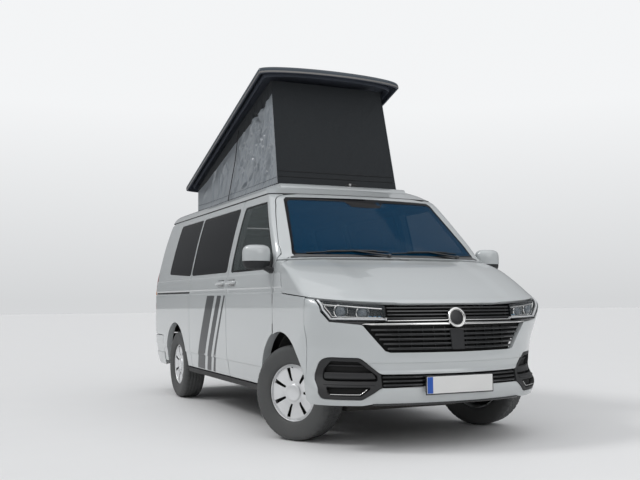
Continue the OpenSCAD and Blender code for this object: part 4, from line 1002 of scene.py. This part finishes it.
shell.place("lid_lining_ring", ["lid_under"], "pop_lid", slot="lid_paint")

# Tent: front, two sides and rear as hung cloth with wrinkles
TENT_HALF, TENT_FOOT, TENT_FRONT, TENT_REAR, TENT_LEAN = 590.0, 1990.3, 580.0, -1880.0, 0.242
# The two band depths set the painted shade under the lid on the tent sides: shallow at the rear, deep at the front.
TENT_KEEP, REAR_KEEP, SHADE_BAND_REAR, SHADE_BAND_FRONT, SEAM = 0.035, 0.005, 36.0, 152.0, 0.02
TAN = math.tan(math.radians(LID_SLOPE))


def tent_top(x):
    return 2219.0 + (x + 1999.0) * TAN + 6


def front_x(z):
    return TENT_FRONT - (z - TENT_FOOT) * TENT_LEAN


TOP_X = (TENT_FRONT - TENT_LEAN * (tent_top(0) - TENT_FOOT)) / (1 + TENT_LEAN * TAN)
TOP_Z = tent_top(TOP_X)
# Front end and spread along the van, lowest place, clearance from the top, lean, lengths, widths, heights, bend
FOLD = (520, 780, 2010, 2080, 0.95, (50, 230), (11, 30), (-30, 26), 0.14)
CREASE = (540, 520, 2030, 2200, 1.1, (40, 130), (8, 13), (10, 22), 0.2)


def folds(x, z, seed, count=110, creases=90):
    """Wrinkles of slack cloth: long folds that lean and bend, and short sharp creases, crowded to the front edge."""
    rng = np.random.default_rng(seed)
    out = np.zeros_like(x)
    for kind in [FOLD] * count + [CREASE] * creases:
        end, spread, low, clear, lean, lengths, widths, heights, most = kind
        cx = end - abs(rng.normal(0, 1)) * spread
        cz = low + rng.uniform(0, 1) * max(80, tent_top(cx) - clear)
        ang = rng.normal(lean, 0.5)
        length, width, height = (rng.uniform(*span) for span in (lengths, widths, heights))
        a = (x - cx) * math.cos(ang) + (z - cz) * math.sin(ang)
        b = -(x - cx) * math.sin(ang) + (z - cz) * math.cos(ang) + a * a / length * rng.uniform(-most, most)
        shape = np.exp(-(b / width) ** 2)
        if kind is CREASE:
            shape = 0.6 * np.exp(-(b / width - 2) ** 2) - shape
        out += height * np.exp(-(a / length) ** 2) * shape
    return out


def squash(obj):
    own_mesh(obj)
    return obj


def cloth(name, g, mats):
    """A hung sheet from rows of points. A second finish on the faces near its top paints the lid's shadow as a dark
    band.
    """
    rows, cols = g.shape[:2]
    faces = [(i, i + 1, i + cols + 1, i + cols) for r in range(rows - 1) for i in range(r * cols, (r + 1) * cols - 1)]
    mesh = new_mesh(name, g.reshape(-1, 3), faces, mats)
    if len(mats) > 1:
        centre = (g[:-1, :-1] + g[1:, 1:]) / 2
        share = (centre[..., 0] - TENT_REAR) / (TENT_FRONT - TENT_REAR)
        # Faces above this line take the black finish as painted shade: the lid's shadow on the side, deeper towards the
        # front.
        dark = centre[..., 2] > tent_top(centre[..., 0]) - SHADE_BAND_REAR - (SHADE_BAND_FRONT - SHADE_BAND_REAR) * share
        mesh.polygons.foreach_set("material_index", dark.astype(int).ravel().tolist())
    obj = squash(place(add_object(name, mesh), "body", ["roof_tent"]))


def side_grid(side, seed):
    s, v = np.meshgrid(1 - np.linspace(1, 0, 420) ** 1.3, np.linspace(0, 1, 150))
    x_low = TENT_REAR + (TENT_FRONT - TENT_REAR) * s
    x_high = TENT_REAR + (TOP_X - TENT_REAR) * s
    x = x_low + (x_high - x_low) * v
    z = TENT_FOOT + 1 + (tent_top(x_high) - TENT_FOOT - 1) * v
    edge = np.minimum(np.minimum(s, 1 - s) * 9, 1) * np.minimum(np.minimum(v, 1 - v) * 7, 1)
    ripple = folds(x, z, seed)
    most = np.where(ripple > 0, 26.0, 44.0)
    slack = 7.2 * np.sin(np.pi * v) * np.sin(np.pi * s)
    y = TENT_HALF - 8 - edge * 20 - slack - 30 * v * s ** 3 + edge * most * np.tanh(ripple / most)
    return np.stack([x, side * np.minimum(y, TENT_HALF - 1), z], -1)


def front_grid():
    s, v = np.meshgrid(np.linspace(-1, 1, 70), np.linspace(0, 1, 60))
    z = TENT_FOOT + 1 + (TOP_Z - TENT_FOOT - 1) * v
    edge = np.minimum((1 - np.abs(s)) * 6, 1) * np.minimum(np.minimum(v, 1 - v) * 8, 1)
    wave = 7 + 2.0 * np.sin(s * 5 + 1) * np.sin(v * 4) + 1.5 * np.sin(s * 17 + v * 3)
    wave -= 0.22 * folds(s * 600 - 60, z, 5, 40, 0)
    return np.stack([np.minimum(front_x(z) - 7 - edge * wave, front_x(z) - 2), s * (TENT_HALF - 8 - 30 * v), z], -1)


def rear_grid():
    s, v = np.meshgrid(np.linspace(-1, 1, 40), np.linspace(0, 1, 16))
    z = TENT_FOOT + 1 + (tent_top(TENT_REAR) - TENT_FOOT - 1) * v
    x = TENT_REAR + 8 + np.minimum((1 - np.abs(s)) * 6, 1) * 6 * np.sin(v * 3.1)
    return np.stack([x, s * (TENT_HALF - 9), z], -1)


ZIP_LOW, ZIP_HIGH = (-775.0, 1994.0), (-500.0, 2662.0)
for side, word, seed in ((1, "left", 3), (-1, "right", 11)):
    grid = side_grid(side, seed)

    def on_cloth(points, lift):
        """Points on this side panel, just outside its cloth."""
        out = []
        for x, z in points:
            d = (grid[..., 0] - x) ** 2 + (grid[..., 2] - z) ** 2
            out.append((x, grid[np.unravel_index(np.argmin(d), d.shape)][1] + side * lift, z))
        return np.array(out)

    shell = Shell()
    zip_at = on_cloth(np.linspace(ZIP_LOW, ZIP_HIGH, 60), 3.0)
    level = np.convolve(np.pad(zip_at[:, 1] * side, 20, mode="edge"), np.ones(41) / 41, "valid")
    zip_at[:, 1] = side * np.minimum(level + 12, TENT_HALF + 3)
    shell.tube(zip_at, 6.0, 6, 0, 0.6)
    for stop, pitch, up, lift, radius, mat in ((545, 52, 15, 2.0, 4.0, 0), (560, 18, 74, 1.2, 1.6, 1)):
        length = 30 if mat == 0 else 10
        for x in np.arange(-1850.0, stop, pitch):
            shell.tube(on_cloth([(x + k * length, TENT_FOOT + up) for k in (0, 0.5, 1)], lift), radius, 6, mat)
    shell.tube(on_cloth([(x, TENT_FOOT + 3.5) for x in np.linspace(-1870, 572, 60)], 1.0), 3.5, 8, 1)
    seams = squash(shell.place("tent_seams_" + word, ["rubber", "tent_front"], slot="tent_cloth"))
    # Its second finish is the painted shadow of the lid along the top of the side.
    cloth("tent_side_" + word, grid, ["tent", "tent_front"])
face = front_grid()
shell = Shell()
for row in (5, 8):
    shell.tube(face[row, 1:-1] + [2.0, 0, 0], 2.2, 6)
piping = squash(shell.place("tent_seam_front", ["rubber"], slot="tent_cloth"))
slant = math.hypot(TOP_Z - TENT_FOOT, front_x(TENT_FOOT) - front_x(TOP_Z))
cloth("tent_front", face, ["tent_front"])
cloth("tent_rear", rear_grid(), ["tent"])

# Wheels: treaded tyres and slotted covers, made once and set in four places
TREAD = 339.95
WALL = [(206, 88), (214, 97), (230, 102), (246, 104), (252, 104.6), (256, 106), (285, 107.3), (300, 106.4), (312, 104),
        (326, 97), (336, 85), (339, 77), (TREAD, 68)]


def tyre_mesh():
    prof = [(r, -y) for r, y in WALL]
    for g in (-48, -17, 17, 48):
        prof += [(TREAD, g - 5.5), (333, g - 4), (332.5, g), (333, g + 4), (TREAD, g + 5.5)]
    count = 264
    k = np.arange(count)
    arms = np.stack([np.cos(2 * math.pi * k / count), 0 * k, np.sin(2 * math.pi * k / count)], 1)
    r, y = (np.repeat(c[:, None], count, 1) for c in np.array(prof + WALL[::-1], float).T)
    shoulder = (np.abs(y) > 53) & (np.abs(y) < 100) & (r > 318)
    rib = (np.abs(y) < 43) & (r > 338)
    r = np.where(shoulder & (k % 6 == 0), r - 6, r)
    r = np.where(rib & ((k + (y > 0) * 3) % 6 == 2), r - 4, r)
    shell = Shell()
    shell.skin(r[..., None] * arms + y[..., None] * [0, 1, 0], (0, 0, 0))
    bead = np.array([[206.0, 88], [206.5, 80], [206.5, -80], [206, -88]])[..., None, None]
    shell.skin(bead[:, 0] * arms + bead[:, 1] * [0, 1, 0], (0, 0, 0), sense=-1)
    return shell.mesh("tyre_pattern", ["tyre"])


def cover_face(u, v):
    r = np.hypot(u, v)
    return np.stack([u, 66 + 9 * smooth(r, 78, 118) + 4 * smooth(r, 118, 176) - 17 * smooth(r, 180, 205), v], -1)


cover_face.out = (0, 1, 0)


def turned(points, angle):
    c, s = math.cos(angle), math.sin(angle)
    return [(c * x - s * y, s * x + c * y) for x, y in points]


def wheel_mesh():
    slot, dense = fillet([(84, -8), (182, -15), (182, 15), (84, 8)], 6.5, 4), []
    for p, q in zip(slot, slot[1:] + slot[:1]):
        n = max(1, int(math.dist(p, q) / 12))
        dense += [(p[0] + (q[0] - p[0]) * k / n, p[1] + (q[1] - p[1]) * k / n) for k in range(n)]
    slots = [turned(dense, 2 * math.pi * (k + 0.5) / 7) for k in range(7)]
    shell = Shell()
    shell.panel([arc(0, 0, 199, 0, 357, 119), *slots], cover_face, 6, 3.0, 13, 0, (0, 0, 1))
    hub, y = (0, 0, 0), (0, 1, 0)
    shell.lathe([(0, 84), (30, 83), (52, 80), (60, 76), (64, 66), (70, 64), (74, 67), (80, 66)], hub, y, 64, pinch=1.2)
    shell.lathe([(196, 58), (197, 74), (200, 80), (203, 81), (205, 77), (205, 60), (202, 40), (196, 0), (198, -60),
                 (204, -84), (199, -88), (190, -60), (188, 0), (195, 56)], hub, y, 96, pinch=1.0)
    shell.lathe([(0, 44), (188, 44), (190, 40), (120, 26), (0, 20)], hub, y, 64, 1, pinch=1.0)
    shell.lathe([(0, -2), (58, -2), (64, 4), (80, 10), (96, 22)], hub, y, 48, 2, -1, 1.0)
    for k in range(5):
        a = 2 * math.pi * (k + 0.3) / 5
        shell.lathe([(0, -16), (9, -15), (11, -12), (11, 4)], (52 * math.cos(a), 0, 52 * math.sin(a)), y, 6, 2, -1)
    shell.tube([(0, 82, 180), (0, 88, 183), (0, 92, 184)], [4, 4, 3], 8, 1)
    return shell.mesh("cover_pattern", ["wheel", "slot", "casting"])


STEER, patterns = math.radians(29.0), (("tyre", tyre_mesh(), "tyre"), ("wheel", wheel_mesh(), "wheel_silver"))
for word, at, turn in (("front_left", (1510.548, 805.349, 340), STEER),
                       ("front_right", (1577.452, -805.349, 340), STEER + math.pi),
                       ("rear_left", (REAR_AXLE, 814, 340), 0.0), ("rear_right", (REAR_AXLE, -814, 340), math.pi)):
    for kind, mesh, slot in patterns:
        obj = add_object(f"{kind}_{word}_visual", mesh)
        obj.matrix_world = Matrix.Translation(Vector(at) * MM) @ Matrix.Rotation(turn, 4, "Z")
        place(obj, word + "_wheel", [f"{kind}_{word}"])

# Door mirrors: painted cap, black foot, glass and stalk
MIRROR_X, MIRROR_Y, MIRROR_Z, MIRROR_TOP = 1345.0, 1042, 1234, 185
mirror_lines = Waterlines(MIRROR_ROWS, 50.0, -66.0, 106.0)
for side, word in SIDES:
    origin = np.array([MIRROR_X, side * MIRROR_Y, MIRROR_Z])
    shell = Shell()
    for low, high, mat, grow in ((64, MIRROR_TOP, 0, 0.0), (0, 60, 1, -1.0), (60, 64, 1, -4.0)):
        grid = np.array([ring(mirror_lines, z, 12, 5, grow) for z in np.linspace(low, high, 14)]) + origin
        shell.skin(grid, origin + [0, 0, 95], mat)
        if high == MIRROR_TOP:
            shell.cap(grid[-1], (0, 0, 1), mat)
        if low == 0:
            shell.cap(grid[0], (0, 0, -1), mat)
    foot = np.array([MIRROR_X, side * 925, 1226])
    for dx in (-22, 0, 22):
        shell.tube(np.linspace(foot + [dx, 0, -2], origin + [-10 + dx * 0.4, side * -40, 26], 8),
                   [24, 23, 22, 21, 21, 21, 21, 20], 14, 1)
    sail = on_side([(1218, 1236), (1340, 1236), (1340, 1320), (1308, 1352)], side, 8)
    shell.panel([sail], side_front, 6, 1.5, 30, 0.6, 1)
    shell.place("mirror_house_" + word, ["paint", "black"], "door_" + word, ["mirror_" + word], "paint")
    block("mirror_glass_" + word, (5, 168, 132), (MIRROR_X - 64.5, side * MIRROR_Y, MIRROR_Z + 96), 2.4, "reflector",
          "door_" + word)


# Tail: gate with its pane, lamps, bumper and blank plate
def gate_form(u, z):
    """The tail with a recess for the plate and a ledge above it."""
    p = tail(u, z)
    flat = (1 - smooth(np.abs(p[..., 1]), 300, 322)) * smooth(z, 846, 860) * (1 - smooth(z, 1002, 1016))
    ledge = smooth(z, 1030, 1044) * (1 - smooth(z, 1196, 1210))
    p[..., 0] += 16 * flat + 5 * ledge * (1 - smooth(np.abs(u) / STEP, 48, 58))
    return p


GATE = ys((0, 1868), (668, 1868), (690, 1856), (760, 1500), (806, 1010), (778, 660), (755, 640), (0, 640))
rear_glass = whole(ys((0, 1792), (600, 1790), (622, 1768), (690, 1262), (668, 1240), (0, 1236)), tail)
sheet_metal("tailgate_skin", [whole(GATE, tail), rear_glass], gate_form, 56, LINED, ["tailgate"], "rear_door", step=26,
            rows=(846, 853, 860, 1002, 1009, 1016, 1030, 1037, 1044, 1196, 1203, 1210))
pane("rear_pane", rear_glass, shrink(rear_glass, 34), tail, "dark_glass", "rear_door", "rear_window", "dark_glass")
plate("rear_plate", -2424, 928, -1, "rear_door")
shell = Shell()
shell.strip([(-330, 1018), (330, 1018), (318, 1040), (-318, 1040)], tail, depth=14, roll=4, lift=8)
p, n = settle_y([(-420 + 430 * t, 1262 + 46 * t) for t in np.linspace(0, 1, 10)], tail)
shell.tube(p + n * 7, 5, 8)
shell.lathe([(0, 16), (18, 14), (22, 0), (22, -8)], p[-1], n[-1], 20)
shell.place("rear_wiper_and_grip", ["gloss_black"], "rear_door")
STOP_LAMP = [(-150, 1826), (150, 1826), (150, 1842), (-150, 1842)]
sheet_metal("high_stop_lamp", [trace(STOP_LAMP, tail, kind="y", radius=5)], tail, 12, "red", (), "rear_door",
            "red_lens", roll=2, lift=2)


def lamp_quad(low, high, x, step, side):
    """Outline of a tail lamp's field, from its edge beside the gate to a given x."""
    y0, y1 = np.interp((low, high), (902, 1010, 1100, 1190, 1328), (818, 812, 805, 799, 791))
    return trace(ys((y0, low)) + xs((x, low), (x, high)) + ys((y1, high)), tail, side, step)


for side, word in SIDES:
    shell = Shell()
    for low, high, mat in ((902, 985, 0), (988, 1062, 2), (1065, 1140, 1), (1143, 1328, 0)):
        shell.panel([lamp_quad(low, high, -2302, 20, side)], tail, 20, 4, 24, -1, mat)
    shell.panel([lamp_quad(900, 1330, -2300, 30, side)], tail, 30, 2, 40, -10, 3)
    shell.place("tail_lamp_" + word, ["red", "amber", "lamp_white", "lamp_dark"], replaced=["tail_lamps"],
                slot="red_lens")


def rear_bumper_form(u, z):
    """The tail with a recess for the step pad."""
    p = tail(u, z)
    inset = 10 * (smooth(z, 430, 442) - smooth(z, 520, 532))
    a = np.radians(np.minimum(np.abs(u) / STEP, 90))
    p[..., 0] += inset * np.cos(a)
    p[..., 1] -= np.sign(u) * inset * np.sin(a) * 0.6
    return p


REAR_BUMPER = (ys((0, 632), (770, 632)) + xs((-2290, 620), (-1978, 618), (-1978, 303), (-2200, 303))
               + ys((600, 303), (0, 303)))
sheet_metal("rear_bumper_skin", [whole(REAR_BUMPER, tail)], rear_bumper_form, 60, BACKED, ["rear_bumper"], step=40,
            rows=(430, 436, 442, 520, 526, 532))
shell = Shell()
shell.bar(640, 446, 516, end=tail, surface=rear_bumper_form, depth=6, roll=3, lift=3, step=40)
shell.bar(740, 612, 629, end=tail, depth=10, roll=3, lift=2, step=40)
shell.place("rear_step_pad", ["black"])
shell = Shell()
REFLECTOR = [(690, 466), (810, 466), (810, 496), (690, 496)]
for side in (1, -1):
    shell.panel([trace(REFLECTOR, tail, side, 20, "y", 8)], rear_bumper_form, 6, 2, 30, 4)
shell.place("rear_reflectors", ["red"], slot="red_lens")


# Seats and bench: foam and cloth, puffed by a cloth simulation
def points_of(obj):
    co = np.empty(len(obj.data.vertices) * 3)
    obj.data.vertices.foreach_get("co", co)
    return co.reshape(-1, 3)


def bake(obj):
    """Replaces a piece's mesh by its evaluated shape."""
    new = bpy.data.meshes.new_from_object(obj.evaluated_get(bpy.context.evaluated_depsgraph_get()))
    new.name = obj.name
    obj.modifiers.clear()
    obj.data = new


FRAMES, PRESSURE, STIFFNESS, SWELL, PROUD, FILL = 20, 4.0, 12, 0.026, 0.004, 0.75


def cushion(node_name, name, cell):
    """Foam from the CAD solid: remeshed finely, then swollen a little as cloth under pressure."""
    mesh = cad[node_name].data.copy()
    mesh.name = name
    obj = add_object(name, mesh)
    mesh.materials.clear()
    mesh.materials.append(M["seat"])
    mod = obj.modifiers.new("fine", "REMESH")
    mod.mode, mod.voxel_size, mod.use_smooth_shade = "VOXEL", cell, True
    bake(obj)
    start = points_of(obj)
    mod = obj.modifiers.new("cloth", "CLOTH")
    s = mod.settings
    s.quality, s.mass = 4, 0.3
    s.use_pressure, s.uniform_pressure_force = True, PRESSURE
    s.tension_stiffness = s.compression_stiffness = s.shear_stiffness = STIFFNESS
    s.effector_weights.gravity = 0
    for holder in (mod.point_cache, scene):
        holder.frame_start, holder.frame_end = 1, FRAMES
    for f in range(1, FRAMES + 1):
        scene.frame_set(f)
    bake(obj)
    scene.frame_set(1)
    moved = points_of(obj) - start
    size = np.linalg.norm(moved, axis=1)[:, None] + 1e-9
    lo, hi = start.min(0), start.max(0)
    now = np.clip(start + moved * np.minimum(1, SWELL / size), lo - PROUD, hi + PROUD)
    now[:, 2] = np.where(start[:, 2] < lo[2] + 0.02, start[:, 2], now[:, 2])
    obj.data.vertices.foreach_set("co", now.ravel())
    obj.data.update()
    mod = obj.modifiers.new("smooth", "SMOOTH")
    mod.iterations, mod.factor = 4, 0.5
    mod = obj.modifiers.new("subdivide", "SUBSURF")
    mod.levels = mod.render_levels = 1
    obj.data.polygons.foreach_set("use_smooth", [True] * len(obj.data.polygons))
    place(obj, "body", [node_name])


cushion("front_seats", "front_seat_cushions", 0.022)
cushion("rear_bench", "bench_cushions", 0.024)

# Finishes for the CAD pieces, first those that stay as they are and then by the slot of the rest
KEPT = {
    "floor_pan": "chassis", "side_sills": "black", "wheel_housings": "liner", "engine_block": "casting",
    "exhaust": "steel", "fuel_tank": "cabin", "front_subframe": "chassis", "rear_subframe": "chassis",
    "dashboard": "cabin", "steering_wheel": "cabin", "kitchen_cabinet": "board", "roof_brackets": "steel",
    "hinge_pins": "steel", "slam_panel": "chassis", "knuckle_left": "casting", "knuckle_right": "casting",
    "roof_arms": "steel"}
OTHERS = {"paint": "paint", "lid_paint": "lid", "chassis": "chassis", "liner": "liner", "screen_glass": "screen",
          "door_glass": "door_glass", "dark_glass": "dark_glass", "dark_plastic": "black", "bright_trim": "chrome",
          "lamp_glass": "lens", "red_lens": "red", "castings": "casting", "steel": "steel", "cabin_plastic": "cabin",
          "seat_cloth": "seat", "furniture": "board", "tent_cloth": "tent", "tyre": "tyre", "wheel_silver": "wheel"}
slots = {s["node"]: s["material_slot"] for s in frame["record"]["subparts"]}
for name, obj in cad.items():
    obj.data.materials.clear()
    obj.data.materials.append(M[KEPT.get(name) or OTHERS.get(slots.get(name), "cabin")])

# Camera at the photograph's viewpoint
CAM_AT, CAM_ANGLES, FOCAL_PX, WIDTH_PX, SENSOR = (7.275, -3.198, 1.010), (155.79, 4.02, -0.32), 842.0, 640.0, 36.0
scene.camera = add_object("camera", bpy.data.cameras.new("camera"))
lens = scene.camera.data
lens.sensor_width, lens.lens, lens.clip_end = SENSOR, SENSOR * FOCAL_PX / WIDTH_PX, 200
yaw, pitch, rolled = (math.radians(a) for a in CAM_ANGLES)
forward = Vector((math.cos(yaw) * math.cos(pitch), math.sin(yaw) * math.cos(pitch), math.sin(pitch)))
right = forward.cross(Vector((0, 0, 1))).normalized()
up = right.cross(forward)
c, s = math.cos(rolled), math.sin(rolled)
turn = Matrix((c * right + s * up, c * up - s * right, -forward)).transposed().to_4x4()
scene.camera.matrix_world = Matrix.Translation(CAM_AT) @ turn

# Pale floor and a soft studio
FLOOR = 60e3
corners = [(-FLOOR, -FLOOR, 0), (FLOOR, -FLOOR, 0), (FLOOR, FLOOR, 0), (-FLOOR, FLOOR, 0)]
add_object("floor", new_mesh("floor", corners, [(0, 1, 2, 3)], ["floor"]))
scene.world = bpy.data.worlds.new("studio")
scene.world.use_nodes = True
t = scene.world.node_tree
t.nodes.clear()
height = node(t, "ShaderNodeSeparateXYZ", {0: node(t, "ShaderNodeTexCoord").outputs["Generated"]}).outputs["Z"]


def backdrop(strength, *stops):
    """A background that changes with height. The first two stops are its ends."""
    ramp = node(t, "ShaderNodeValToRGB", {0: height})
    for k, (at, color) in enumerate(stops):
        e = ramp.color_ramp.elements[k] if k < 2 else ramp.color_ramp.elements.new(at)
        e.position, e.color = at, (*color, 1)
    return node(t, "ShaderNodeBackground", {"Color": ramp.outputs[0], "Strength": strength}).outputs[0]


greys = ((at, (v * 0.98, v, v * 1.03)) for at, v in ((0.03, 0.30), (0.16, 0.52), (0.38, 0.72)))
room = backdrop(0.50, (0.0, (0.34, 0.35, 0.36)), (0.75, (0.95, 0.97, 1.0)), *greys)
seen = backdrop(1.0, (0.0, (0.66, 0.67, 0.68)), (0.22, (0.90, 0.91, 0.92)))
ray = node(t, "ShaderNodeLightPath").outputs["Is Camera Ray"]
mixed = node(t, "ShaderNodeMixShader", {0: ray, 1: room, 2: seen}).outputs[0]
node(t, "ShaderNodeOutputWorld", {0: mixed})


def light(name, kind, at, aim, power):
    obj = add_object(name, bpy.data.lights.new(name, kind))
    obj.data.energy = power
    obj.rotation_euler = (Vector(aim) - Vector(at)).to_track_quat("-Z", "Y").to_euler()
    return obj


light("soft_sky_light", "SUN", (2.4, -0.8, 6.0), (0, 0, 0), 1.15).data.angle = math.radians(100)
light("key_light", "SUN", (-2.0, -4.2, 5.0), (0, 0, 0), 0.80).data.angle = math.radians(14)
LAMP_AT = (9.0, 2.5, 4.2)
area = light("front_light", "AREA", LAMP_AT, (1.5, 0, 1.0), 60)
area.location = LAMP_AT
area.data.shape, area.data.size, area.data.size_y = "RECTANGLE", 5, 3

scene.view_settings.view_transform = "Standard"
